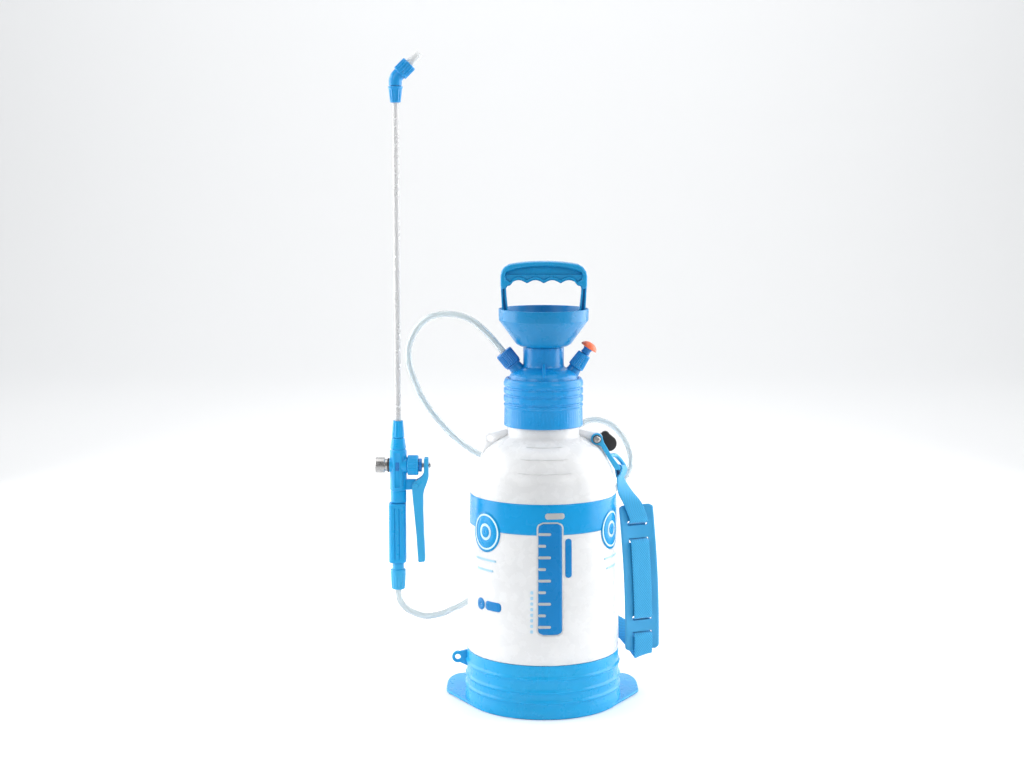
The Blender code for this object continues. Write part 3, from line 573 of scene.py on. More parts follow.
# hose
hose = {"radius": 3.5, "bore": 2.4, "exit": hoseStart + hoseAxis * 10.0}
hoseRoute = [tuple(hoseStart + hoseAxis * step) for step in (10, 17, 24)]
hoseRoute += [
    (-60.2, 3, 402.4), (-74.2, 6, 414.7), (-88.2, 9, 421.4), (-105, 13, 423.5),
    (-120.6, 18, 420.6), (-132.1, 23, 413.2), (-141.6, 28, 400.8), (-146.9, 32, 387.6),
    (-148.3, 35, 375.9), (-146.7, 38, 362.6), (-142.7, 41, 349.5), (-135.2, 45, 330.3),
    (-125.5, 49, 313.8), (-114.2, 53, 298.8), (-101.5, 57, 284.3), (-87.3, 62, 271.2),
    (-68.7, 70, 258.9), (-45, 83, 253), (-12, 95, 258), (20, 98, 275),
    (46.9, 95, 291.8), (57.2, 90, 296.1), (68.6, 85, 295.6), (80, 80, 290.5),
    (91.4, 75, 278.5), (99.1, 72, 262), (98.9, 74, 242.6), (86.8, 85, 220.5),
    (65, 95, 200), (35, 102, 176), (0, 104, 151), (-35, 98, 127),
    (-65, 76, 106), (-85.6, 48, 94.4), (-101.9, 30, 90.4), (-113.4, 18, 88.6),
    (-128.8, 8, 88.7), (-141.9, 3, 93.7), (-152, 1, 100.4), (-157.4, 0, 109),
    (-159, 0, 118), (-159, 0, 130),
]
hosePoints, hoseLength = smoothRoute(hoseRoute, 4)
hoseMesh = pipe("hoseTube", hosePoints, hose["radius"], hose["bore"], 20)
hosePiece = place("hoseTube", hoseMesh, hoseVinyl, "root", ["hose"])
print("sprayer: hose laid,", round(hoseLength), "mm")

# tank and its print
tank = {"shoulder": 231, "foot": 72, "top": 79.5, "bottom": 83.2}


def tankRadius(height):
    # the drafted side of the tank
    along = (tank["shoulder"] - height) / (tank["shoulder"] - tank["foot"])
    return tank["top"] + (tank["bottom"] - tank["top"]) * min(1, max(0, along)) ** 0.8


def makeTank():
    outer = [(39, 341.5), (39, 294.5), (39.8, 292.6), (42, 291.2), (46.5, 288.9), (50.5, 286.6)]
    outer += [(55.4, 283.5), (59.7, 280), (63, 276.2), (66, 272), (69, 267.4), (72.2, 262.2), (75, 256.5)]
    outer += [(76.8, 250), (77.8, 244), (78.6, 238)]
    outer += [(tankRadius(z), z) for z in (231, 225, 215, 205, 190, 165, 140, 110)]
    outer += [(83.2, 72), (83.2, 57.8), (80.4, 57.8), (80, 22), (77.5, 12), (72, 6.5), (64, 3.8), (0, 3.8)]
    inner = [(0, 6.3), (64, 6.3), (70.5, 9), (75.3, 13.5), (77.5, 22.5), (77.8, 57.5), (79, 140), (77, 231)]
    inner += [(75, 248), (72.8, 255.8), (68.4, 263.4), (57.8, 278), (49, 284.2), (40.6, 288.8)]
    inner += [(36, 291.8), (36, 341.5)]
    body = lathe("tankBody", inner + outer, 168, False, 3)
    place("tankBody", body, tankPlastic, "root", ["tank_shell"])
    for side in (-1, 1):
        x, z = side * abs(eyelet.x), eyelet.z
        loop = [(37.6, 299.5), (50, 296.9)] + arc(abs(x), z, 6.5, 105, -35, 20)
        loop += [(69.2, 267.4), (64.6, 272.4), (58.8, 279.4), (49.8, 285.6), (41.4, 290.2), (37.6, 291.8)]
        loop = [(side * px, pz) for px, pz in loop]
        ear = slab("ear", [loop, circle(x, z, 3.4)], 5, 0.8, upright)
        name = "shoulderEar" + ("Left" if side < 0 else "Right")
        place(name, ear, tankPlastic, "root", ())


def onTank(name, rows, lift, paint):
    # a printed patch: rows of points as distance round the tank and height, wrapped on its side
    shape = bmesh.new()
    made = []
    for row in rows:
        line = []
        for s, z in row:
            r = tankRadius(z) + lift
            turn = s / tankRadius(210)
            line.append(shape.verts.new(Vector((r * math.sin(turn), -r * math.cos(turn), z)) * mm))
        made.append(line)
    skin(shape, made, False)
    film = place(name, meshOf(name, shape), paint).modifiers.new("film", "SOLIDIFY")
    film.thickness = 0.08 * mm
    film.offset = -1.0


def ringRows(s, z, inner, outer, count=72):
    return [arc(s, z, radius, 0, 360, count) for radius in (inner, (inner + outer) / 2, outer)]


def pillRows(s, halfWidth, low, high, round):
    rows = []
    for step in range(61):
        z = low + (high - low) * step / 60
        edge = min(z - low, high - z, round)
        half = halfWidth - round + math.sqrt(max(0, round**2 - (round - edge) ** 2))
        rows.append([(s + half * (k / 4 - 1), z) for k in range(9)])
    return rows


label = {
    "bandLow": 198, "bandHigh": 230.6, "gauge": 6, "gaugeHalf": 12.4, "badgeRadius": 21.8, "badgeHeight": 196,
}


def makeLabel():
    around = math.pi * tankRadius(210)
    low, high = label["bandLow"], label["bandHigh"]
    levels = [low + (high - low) * j / 12 for j in range(13)]
    strip = [[(around * (2 * i / 200 - 1), z) for i in range(201)] for z in levels]
    onTank("labelBand", strip, 0.10, bandInk)
    onTank("bandMark", pillRows(11, 10.5, 215, 221.5, 3), 0.20, tankPlastic)
    for word, degrees in (("Left", -50.5), ("Right", 64), ("BackLeft", -150), ("BackRight", 160)):
        s = math.radians(degrees) * tankRadius(196)
        z = label["badgeHeight"]
        onTank("badgeDisc" + word, ringRows(s, z, 0.4, label["badgeRadius"]), 0.20, bandInk)
        onTank("badgeRing" + word, ringRows(s, z, 17.3, 19.3), 0.30, paleInk)
        onTank("badgeHeart" + word, ringRows(s, z, 0.4, 9), 0.30, paleInk)
        onTank("badgeCore" + word, ringRows(s, z, 0.4, 6.2), 0.40, bandInk)
        for line, half in ((0, 17), (1, 13)):
            top = z - 30.0 - line * 11.0
            rows = pillRows(s, half, top - 1.1, top + 1.1, 1)
            onTank("badgeLine" + word + str(line), rows, 0.10, greyInk)
    s = label["gauge"]
    onTank("gaugeRim", pillRows(s, label["gaugeHalf"] + 1.8, 90, 212, 6.6), 0.20, tankPlastic)
    onTank("gaugeBar", pillRows(s, label["gaugeHalf"], 91.6, 210.4, 5), 0.30, barInk)
    for step in range(9):
        z = 100.0 + 12.4 * step
        half = 6.6 if step % 2 == 0 else 4.0
        rows = pillRows(s - label["gaugeHalf"] + half, half, z - 1.5, z + 1.5, 1.4)
        onTank("gaugeTick" + str(step), rows, 0.40, tankPlastic)
    onTank("sideBar", pillRows(s + 19.5, 3.6, 152, 194, 3.4), 0.10, barInk)
    for step in range(8):
        z = 93.0 + 6.0 * step
        onTank("sideDash" + str(step), pillRows(s - 19, 1.5, z, z + 3.4, 0.9), 0.10, greyInk)
    onTank("footMark", pillRows(-58, 11, 112, 122, 4), 0.10, barInk)
    onTank("footDot", ringRows(-76.5, 117, 0.4, 6.5), 0.10, barInk)


def shoulderLines():
    # three short raised lines on the front of the shoulder
    for radius, height, half in ((50.6, 286.4, 20), (63.6, 275.4, 26), (72.4, 262, 30)):
        points = []
        for step in range(33):
            s = half * (step / 16 - 1)
            angle = s / radius
            points.append(Vector((radius * math.sin(angle), -radius * math.cos(angle), height)))
        radii = [0.9 * math.sqrt(max(0.05, 1 - (step / 16 - 1) ** 4)) for step in range(33)]
        name = "shoulderLine" + str(round(height))
        place(name, pipe("line", points, radii, 0, 12), tankPlastic, "root", ())


shoulderLines()
makeTank()
makeLabel()
print("sprayer: tank and print made")

# base
base = {"ribs": ((43.4, 83.9), (29, 84.2), (17.9, 84.5)), "tabThick": 2.8, "eyelet": (-93.9, 45)}


def makeBase():
    profile = [(0, 3.5), (80.2, 3.5), (80.9, 6), (80.9, 57.5), (83.4, 57.5)]
    for height, radius in base["ribs"]:
        profile += [(radius - 0.5, height + 2.4), (radius + 1.1, height + 0.4)]
        profile += [(radius + 1.1, height - 0.4), (radius - 0.5, height - 2.4)]
    profile += [(85.2, 9), (85.6, 5), (85.6, 0), (0, 0)]
    turned("baseCup", profile, basePlastic, ["base_foot"], None, steps=168, ring=False, soft=0.7)
    wing = [(60, -40), (72.5, -46.3), (105.2, 9.6), (107.2, 16), (107.2, 44), (106.2, 56)]
    wing = roundedLoop(wing + [(103.4, 67), (98.8, 75.6), (92.5, 80.4), (84, 82), (29, 82), (20, 60)], 5, 6)
    for side in (-1, 1):
        name = "footTab" + ("Left" if side < 0 else "Right")
        loop = [(side * x, y) for x, y in wing]
        place(name, slab(name, [loop], base["tabThick"], 0.9, at(0, 0, 1.8)), basePlastic)
    x, z = base["eyelet"]
    ear = [(x + 10.9, z + 8.5)] + arc(x, z, 6.4, 70, 290, 24) + [(x + 10.9, z - 10)]
    for name, turn in (("baseEyelet", 0), ("rearEyelet", -105)):
        where = Matrix.Rotation(math.radians(turn), 4, "Z") @ upright
        place(name, slab(name, [ear, circle(x, z, 3.1)], 5, 0.8, where), basePlastic)


makeBase()
print("sprayer: base made")


# head, collar and funnel
deep = "deep_blue_plastic"


def makeHead():
    profile = [(38.3, 355.5), (41, 355.5), (42.4, 353), (43, 351)]
    for groove in (346, 338, 329):
        profile += [(43, groove + 1.6), (41.9, groove + 0.8), (41.9, groove - 0.8), (43, groove - 1.6)]
    profile += [(43, 325.8), (42.3, 324.8), (42.4, 322), (42.7, 307), (42.8, 304)]
    profile += [(40.6, 304), (40.6, 350.3), (38.3, 350.3)]
    ticks = ribs(72, 0.25, 307, 322.2, 3)
    collar = lathe(
        "screwCollar", profile, 288, True, 0.6, None, lambda a, h, r: ticks(a, h, r) if r > 41.5 else 0,
    )
    place("screwCollar", collar, skyPlastic, "root", ["head_collar"])
    dome = [
        (22, 389.5), (22, 370), (22.6, 367.6), (24.6, 366.3), (28.5, 365), (33, 362.4), (36.2, 358.8),
        (37.6, 354), (37.6, 350), (40.2, 350), (40.2, 343), (34.5, 343), (34.5, 352), (32.2, 357.2),
        (28, 361), (24, 362.4), (21.4, 362.4), (21.4, 345), (18.7, 345), (18.7, 389.5),
    ]
    head = turned("headDome", dome, columnPlastic, ["head_body"], None, deep, steps=128, soft=1.2)
    # painted light and shade on one moulded piece: the dome's upward faces get the paler skyPlastic as
    # painted light from above, the upright column keeps the darker columnPlastic as painted shade
    head.data.materials.append(skyPlastic)
    for face in head.data.polygons:
        if face.center.z < 366.6 * mm and face.center.xy.length > 22.4 * mm:
            face.material_index = 1
    stub = [(2.4, 9.7), (6, 9.7), (6, -0.3), (7, -0.3), (7.6, -5), (8.6, -10.5), (2.4, -10.5)]
    turned("hoseStub", stub, columnPlastic, (), aim(hoseStart, hoseAxis), deep, soft=0.4)
    stub = [(1.6, 5), (5.2, 5), (5.2, -0.3), (7, -0.3), (7.4, -4), (8.2, -8), (1.6, -8)]
    turned("valveStub", stub, columnPlastic, (), aim(valveStart, valveAxis), deep, soft=0.4)
    fin = [(20.5, 372.8), (22.6, 372.8), (36.8, 359.8), (37.2, 354.5), (34, 356), (29, 362), (20.5, 364)]
    fin = roundedLoop(fin, 0.8)
    for side in (-1, 1):
        where = Matrix.Rotation(math.radians(-90.0 * side), 4, "Z") @ upright
        name = "gusset" + ("Back" if side < 0 else "Front")
        place(name, slab(name, [fin], 3, 0.6, where), skyPlastic, "root", ())
    cone = [
        (46.9, 430.5), (48.6, 430.5), (48.6, 428), (48.3, 418), (30, 392.6), (28.6, 391.6), (25.6, 389.8),
        (18.7, 389.8), (18.7, 393.4), (27.6, 393.4), (46.2, 419.2),
    ]
    turned("funnelCone", cone, conePlastic, ["filling_funnel"], None, steps=144, soft=0.8)


makeHead()
print("sprayer: head made")


# nuts on the head, and the safety valve
def ribbedNut(name, profile, side, count, depth, low, high, where, paint, nodes, **given):
    # a turned nut with ribs between two heights; side is where its straight outer wall starts
    grooves = ribs(count, depth, low, high)
    reach = max(p[0] for p in profile) * 0.72
    mesh = lathe(
        name, ribbedProfile(profile, side), given.get("steps", count * 10), True, 0.35, where,
        lambda a, h, r: grooves(a, h, r) if r > reach else 0,
    )
    place(name, mesh, paint, given.get("body", "root"), nodes)


def makeHeadNuts():
    where = aim(hoseStart, hoseAxis)
    nut = [(9, 16.4), (9.6, 15.6), (9.6, 0.8), (9.2, 0), (6.4, 0), (6.4, 10), (3.9, 10), (3.9, 16.4)]
    side = (9.6, 15.6)
    ribbedNut("outletNut", nut, side, 26, 0.7, 1, 15.4, where, deepPlastic, ["hose_nut"], slotName=deep)
    where = aim(valveStart, valveAxis)
    nut = [(6.9, 17.3), (7.4, 16.6), (8.7, 0.8), (8.4, 0), (5.5, 0), (5.5, 13.6), (3.3, 13.6), (3.3, 17.3)]
    side = (7.4, 16.6)
    ribbedNut("safetyNut", nut, side, 22, 0.7, 1.2, 16, where, skyPlastic, ["relief_nut"], slotName=deep)
    stem = [(0, 27), (2.4, 27), (2.4, 26), (5.6, 26), (5.6, 25), (4.5, 22.6), (4.5, 21), (4.9, 19)]
    stem += [(4.9, 17.9), (3, 17.9), (3, 12), (1.6, 12), (1.6, 8.6), (0, 8.6)]
    turned("safetyStem", stem, deepPlastic, ["relief_stem"], where, deep, "relief", ring=False, soft=0.5)
    cap = [(0, 31.4), (3.4, 31.1), (6.4, 29.9), (8.6, 27.8), (9.5, 25.9), (9.5, 25), (6, 25), (6, 26.3)]
    cap += [(2.8, 26.3), (2.8, 27.3), (0, 27.3)]
    mesh = lathe("safetyCap", cap, 72, False, 0.9, where)
    place("safetyCap", mesh, orangePlastic, "relief", ["relief_cap"])


makeHeadNuts()
print("sprayer: nuts and safety valve made")

# pump handle
handle = {"top": 481.3, "gripThick": 22, "hollowThick": 11, "legThick": 13, "flange": 1.9, "pitch": 18.0}


def fingerEdge(x):
    # the wavy underside of the grip: three teeth between four hollows
    wave = abs(math.sin(math.pi * x / handle["pitch"]))
    drop = max(0, abs(x) - 33)
    return 457.8 + 3.6 * math.sqrt(wave * wave + 0.01) - drop * 0.75


def gripTop(x):
    return handle["top"] - 3.2 * (abs(x) / 37) ** 2.4


def gripShoulder():
    return [(42.5, 474.8), (45.4, 470.8), (46.5, 466), (46.5, 456)]


def mirrored(points):
    return [(-x, z) for x, z in reversed(points)]


def makeHandle():
    steps = range(-39, 40)
    lower = [(x, fingerEdge(x)) for x in reversed(steps)]
    upper = [(x, gripTop(x)) for x in steps if abs(x) <= 37]
    foot = [(46.2, 453), (41, 451.6)]
    outerLoop = upper + gripShoulder() + foot + lower + mirrored(foot) + mirrored(gripShoulder())
    recessTop = [(x, gripTop(x) - 5.0 - 0.0012 * x * x) for x in steps if abs(x) <= 36]
    recessLow = [(x, fingerEdge(x) + 3.6) for x in reversed(steps) if abs(x) <= 36]
    recessEnd = [(40.2, 470), (41.6, 466.5), (40.6, 462.4)]
    recess = recessTop + recessEnd + recessLow + mirrored(recessEnd)
    shelf = [(-41.5, 467.2), (41.5, 467.2), (40.9, 463)] + recessLow + [(-40.9, 463)]
    meshes = [
        slab("rim", [outerLoop, recess], handle["gripThick"], 2, upright),
        slab("hollow", [recess], handle["hollowThick"], 0.3, upright),
        slab("shelf", [shelf], 16, 0.4, upright),
    ]
    for side in (-1, 1):
        outerLine = [(46.3, 456), (45.8, 446), (45.1, 431), (44, 424), (41, 417.5)]
        outerLine += [(35, 412.2), (26, 410.6), (9, 410)]
        innerLine = [(9, 417.2), (29, 418), (34.6, 420.8), (37.4, 425.4), (38.6, 431)]
        innerLine += [(40.2, 447), (40.6, 456)]
        core = [(side * x, z) for x, z in outerLine + innerLine]
        meshes.append(slab("core", [roundedLoop(core, 1, 2)], 6, 0.3, upright))
        for line, inward in ((outerLine, handle["flange"]), (innerLine[::-1], -handle["flange"])):
            strip = [(side * x, z) for x, z in line]
            inside = []
            for i, (x, z) in enumerate(line):
                ahead = Vector(line[min(i + 1, len(line) - 1)]) - Vector(line[max(i - 1, 0)])
                push = Vector((ahead.y, -ahead.x)).normalized() * inward
                inside.append((side * (x + push.x), z + push.y))
            meshes.append(slab("flange", [strip + inside[::-1]], handle["legThick"], 0.5, upright))
    hub = [(5.3, 409.6), (11, 409.6), (11, 421), (7, 424), (0, 424), (0, 419.5), (5.3, 419.5)]
    meshes.append(lathe("hub", hub[::-1], 48, True, 0.5))
    place("pumpHandle", joined("pumpHandle", meshes), handlePlastic, "plunger", ["pump_handle"])


makeHandle()
print("sprayer: pump handle made")


# lance, elbow and nozzle
def makeLance():
    where = at(lanceX, 0, 0)
    nut = [(5.4, 308.4), (6.9, 290.8), (6.4, 289.9), (3.9, 289.9), (3.9, 308.4)]
    side = (5.4, 308.4)
    ribbedNut("lanceNut", nut, side, 10, 0.55, 290.8, 307.8, where, gripPlastic, ["lance_nut"], steps=120)
    tube = [(3.4, 664), (3.4, 290.3), (2.4, 290.3), (2.4, 664)]
    mesh = lathe("lanceTube", tube, 48, True, 0.2, where)
    place("lanceTube", mesh, lancePlastic, "lance", ["lance_tube"])
    nut = [(7.4, 667), (7.8, 666.6), (7.8, 664.8), (7.2, 664.2), (5.7, 650.4), (5.2, 649.7), (3.7, 649.7)]
    nut += [(3.7, 664.4), (4.6, 664.4), (4.6, 667)]
    ribbedNut(
        "elbowNut", nut, (7.2, 664.2), 12, 0.6, 651, 663.6, where, skyPlastic, ["elbow_nut"],
        body="lance", steps=144,
    )
    start = Vector((lanceX, 0, 667.4))
    bend = Vector((lanceX, 0, elbowZ))
    slant = Vector((1, 0, 1)).normalized()
    path = [start, start + Vector((0, 0, 1)), start + Vector((0, 0, 1.6)), Vector((lanceX, 0, elbowZ - 3.4))]
    for step in range(1, 6):
        t = step / 6
        path.append(bend + Vector((0, 0, -3.4)) * (1 - t) ** 2 + slant * 3.4 * t * t)
    path += [bend + slant * 3.4, bend + slant * 12.2]
    radii = [6.6] + [7.0] * (len(path) - 2) + [6.8]
    place("elbowPipe", pipe("elbowPipe", path, radii, 2.2, 48), skyPlastic, "lance", ["lance_elbow"])
    nozzle = aim(bend, slant)
    nut = [(7.9, 21.7), (8.6, 20.8), (8.6, 7.6), (8.2, 6.6), (7.2, 6.6), (7.2, 14), (5.2, 14), (5.2, 21.7)]
    side = (8.6, 20.8)
    ribbedNut("nozzleNut", nut, side, 18, 0.8, 8, 20.6, nozzle, skyPlastic, ["nozzle_nut"], body="nozzle")
    tip = [(1, 36.6), (4, 36.6), (4.4, 36.1), (4.6, 26), (4.9, 14.3), (3.4, 14.3), (3.4, 34), (1, 34)]
    turned("nozzleTip", tip, nozzleClear, ["nozzle_tip"], nozzle, "clear_plastic", "nozzle", soft=0.4)


# valve handle
def makeTrunk(across):
    # the upright barrel with its sunk panel and window, the two side bosses and the lever's lug
    body = [(6.6, 289.6), (7, 288.8), (8.6, 278.2), (7.9, 277.6), (7.9, 276.8), (8.6, 276.2), (9.2, 275.2)]
    body += [(9.2, 233.4), (8.9, 232.4), (8.1, 232), (8.1, 231.2), (8.6, 230.8), (8.6, 219), (8.2, 218)]
    body += [(4.6, 218), (4.6, 146), (2.6, 146), (2.6, 289.6)]
    trunk = lathe("trunk", body, 96, True, 0.35, at(lanceX, 0, 0))
    chamber = lathe("chamber", [(0, 12), (6.5, 12), (6.5, -12), (0, -12)], 48, False, 0, across)
    panel = boxMesh((5.6, 3, 38), at(lanceX - 0.6, -9.5, 254.6), 0.5)
    window = boxMesh((4.2, 4.2, 9.4), at(lanceX - 0.6, -9.2, crossZ - 0.5), 0.3)
    notch = boxMesh((1.6, 2.6, 34), at(lanceX + 5.6, -7.6, 254), 0.4)
    trunk = carve(trunk, [panel, window, notch, chamber])
    right = lathe("right", [(6.6, 9.9), (8.4, 9.9), (8.8, 9.4), (8.8, 3), (6.6, 3)], 64, True, 0.3, across)
    left = lathe("left", [(6.6, -3), (7.6, -3), (7.6, -9.3), (7.2, -9.7), (6.6, -9.7)], 64, True, 0.3, across)
    ear = [(-152, 244), (pivot.x - 0.8, 243.8)] + arc(pivot.x, pivot.z, 4.8, 70, -70, 16)
    ear += [(-144, 232.6), (-152, 232.2)]
    lug = slab("lug", [ear, circle(pivot.x, pivot.z, 1.8, 24)], 6, 0.6, upright)
    dimple = aim(Vector((-146.1, 0, 238.4)), Vector((0, 1, 0)))
    hole = [(0, -0.4), (2.4, -0.4), (2.4, -5), (0, -5)]
    lug = carve(lug, [lathe("dimple", hole, 32, False, 0, dimple)])
    return joined("valveBody", [trunk, right, left, lug])


def makeValve():
    across = aim(Vector((lanceX, 0, crossZ)), Vector((1, 0, 0)))
    place("valveBody", makeTrunk(across), gripPlastic, "root", ["valve_body"])
    plate = boxMesh((4.1, 0.6, 9.3), at(lanceX - 0.6, -7.3, crossZ - 0.5), 0.1)
    place("windowPlate", plate, deepPlastic, "root", ())
    plug = [(0, -4.6), (6.2, -4.6), (6.2, -11.5), (6.9, -11.5), (6.9, -14.7), (8.5, -14.7), (8.5, -24)]
    plug += [(7.7, -25), (0, -25)]
    turned("inletPlug", plug, brightSteel, ["inlet_plug"], across, "steel", steps=64, ring=False, soft=0.4)
    ring = [(7.8, -10), (7.8, -11.2), (6.6, -11.2), (6.6, -10)]
    turned("plugWasher", ring, blackRubber, ["fitting_washer"], across, "rubber", steps=64, soft=0.2)
    nut = [(10, 22), (11, 21), (11, 11), (10.4, 10.2), (2.1, 10.2), (2.1, 19), (3.4, 19), (3.4, 22)]
    ribbedNut("glandNut", nut, (11, 21), 24, 0.6, 11.2, 20.8, across, gripPlastic, ["gland_nut"])
    cap = [(7, 25.7), (7.3, 25.3), (7.3, 22.3), (3, 22.3), (3, 25.7)]
    turned("glandCap", cap, deepPlastic, ["gland_cap"], across)
    stem = [(0, 35.4), (2.2, 35.4), (2.9, 34.7), (2.9, 33.5), (1.7, 33.5), (1.7, 27.6), (2.7, 27.6)]
    stem += [(2.7, 26), (1.7, 26), (1.7, 1.5), (5.6, 1.5), (5.6, -1.5), (0, -1.5)]
    mesh = lathe("valveStem", stem, 40, False, 0.2, across)
    place("valveStem", mesh, brightSteel, "stem", ["valve_stem"])


def makeTrigger():
    right = [(-125.2, 267.6), (-125.1, 246), (-126.5, 241), (-129.6, 233), (-130.9, 227)]
    right += [(-131, 208.8), (-130.2, 183.2), (-129.1, 158), (-129.2, 154), (-130.2, 153)]
    left = [(-135.6, 152.2), (-136.8, 153.4), (-138.6, 183.2), (-140.9, 208.8), (-142.5, 225.8)]
    crook = [(-143.2, 236.8), (-142.4, 240.4), (-140, 242.6), (-136.6, 243.8), (-132.6, 246.8)]
    crook += [(-130, 251.7), (-129.8, 267.6)]
    blade = slab("blade", [roundedLoop(right + left + crook, 1.6, 4)], 14, 1.2, upright)
    earSlot = boxMesh((24, 6.8, 30), at(pivot.x - 4.9, 0, pivot.z - 1), 1)
    stemSlot = boxMesh((12, 4.4, 14), at(-127, 0, 262.8), 0.8)
    across = aim(Vector((pivot.x, 0, pivot.z)), Vector((0, 1, 0)))
    hole = [(0, 10), (1.8, 10), (1.8, -10), (0, -10)]
    pinHole = lathe("pinHole", hole, 32, False, 0, across)
    place("triggerLever", carve(blade, [earSlot, stemSlot, pinHole]), leverPlastic, "lever", ["trigger"])
    half = [(0, 8.3), (2.4, 8.3), (3, 7.8), (3, 7.3), (1.4, 7.3)]
    pin = half + [(r, -z) for r, z in reversed(half)]
    turned("triggerPin", pin, leverPlastic, ["trigger_pin"], across, steps=40, ring=False, soft=0.2)


grip = {"halfX": 9.4, "halfY": 10.8, "corner": 5.5, "rows": 131, "groove": 1.1}


def gripFlat(shape, facing, reach, middleX, z, fromEnd):
    # the points of one flat side, with two upright grooves that stop short of the ends
    flatX, flatY = grip["halfX"] - grip["corner"], grip["halfY"] - grip["corner"]
    made = []
    for step in range(1, 16):
        t = 1 - step / 8
        groove = grip["groove"] * max(0, 1 - abs(abs(t) - 0.62) / 0.16) * min(1, max(0, fromEnd - 4))
        if facing[1]:
            x, y = facing[1] * t * flatX, facing[1] * (reach[1] - groove)
        else:
            x, y = facing[0] * (reach[0] - groove), -facing[0] * t * flatY
        made.append(shape.verts.new(((x + middleX) * mm, y * mm, z * mm)))
    return made


def makeGrip():
    # a rounded-square sleeve with upright grooves along its flats
    centre = middle("hand_grip")
    low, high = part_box("hand_grip")
    zLow, zHigh = low[2] / mm, high[2] / mm
    halfX, halfY, corner, count = (grip[key] for key in ("halfX", "halfY", "corner", "rows"))
    # each corner's signs and the flat that follows it
    corners = ((1, 1, 0, 1), (-1, 1, -1, 0), (-1, -1, 0, -1), (1, -1, 1, 0))
    shape = bmesh.new()
    rows = []
    for step in range(count):
        z = zLow + (zHigh - zLow) * step / (count - 1)
        fromEnd = min(z - zLow, zHigh - z)
        shrink = 0.9 * max(0, 1 - fromEnd / 1.2) ** 2
        row = []
        for turn, (sx, sy, *facing) in enumerate(corners):
            x, y = sx * (halfX - corner), sy * (halfY - corner)
            for x, y in arc(x, y, corner - shrink, 90 * turn, 90 * turn + 90, 8):
                row.append(shape.verts.new(((x + centre.x) * mm, y * mm, z * mm)))
            row += gripFlat(shape, facing, (halfX - shrink, halfY - shrink), centre.x, z, fromEnd)
        rows.append(row)
    skin(shape, rows)
    capEnds(shape, rows)
    place("gripSleeve", closeMesh("gripSleeve", shape), gripPlastic, "root", ["hand_grip"])
    where = at(middle("hose_end_nut").x, 0, 0)
    nut = [(6.4, 151.6), (6.4, 144.4), (8.3, 143.6), (8.3, 138.2), (7.4, 122.8), (6.9, 121.9), (3.9, 121.9)]
    nut += [(3.9, 138), (6, 138), (6, 151.6)]
    ribbedNut("hoseEndNut", nut, (8.3, 138.2), 14, 0.5, 123.2, 137.8, where, leverPlastic, ["hose_end_nut"])


makeLance()
makeValve()
makeTrigger()
makeGrip()
print("sprayer: lance and valve made")

# strap
strap = {
    "top": Vector((101.2, 0, 215.5)), "bottom": Vector((109.6, 0, 53.3)), "width": 41, "thick": 2.4,
    "bow": 5, "corner": 4, "turn": math.radians(22), "slots": (195.6, 177, 90, 72),
    "bar": Vector((85.4, 8, 254)), "along": Vector((0.32, 0.925, -0.2)).normalized(),
    "webWidth": 22, "webThick": 1.3,
}


def padPoint(z, side, out):
    # a place on the bowed pad from its height, the way across it and the way out of it
    along = (strap["top"].z - z) / (strap["top"].z - strap["bottom"].z)
    centre = strap["top"].lerp(strap["bottom"], along)
    bow = -strap["bow"] * math.sin(math.pi * min(1, max(0, along)))
    across = Vector((math.cos(strap["turn"]), math.sin(strap["turn"]), 0))
    outward = Vector((math.sin(strap["turn"]), -math.cos(strap["turn"]), 0))
    return centre + across * side + outward * (out - bow)


def makePad():
    shape = bmesh.new()
    half, corner = strap["width"] / 2, strap["corner"]
    section = [(-1, -0.6), (-1, 0.6), (-0.94, 1.2), (-0.88, 1.2), (-0.84, 0.9), (0.84, 0.9), (0.88, 1.2)]
    section += [(0.94, 1.2), (1, 0.6), (1, -0.6), (0.96, -1.2), (-0.96, -1.2)]
    rows = []
    count = 80
    for step in range(count + 1):
        z = strap["top"].z + (strap["bottom"].z - strap["top"].z) * step / count
        fromEnd = min(step, count - step) / count * 162
        inset = corner - math.sqrt(max(0, corner**2 - max(0, corner - fromEnd) ** 2))
        rows.append([shape.verts.new(padPoint(z, x * (half - inset), out) * mm) for x, out in section])
    skin(shape, rows)
    capEnds(shape, rows)
    pad = closeMesh("padStrip", shape)
    slots = []
    for height in strap["slots"]:
        where = Matrix.Translation(padPoint(height, 0, 0) * mm) @ Matrix.Rotation(strap["turn"], 4, "Z")
        slots.append(boxMesh((strap["webWidth"] + 2, 12, 5), where, 0.9))
    place("shoulderPad", carve(pad, slots), padPlastic, "root", ["shoulder_pad"])


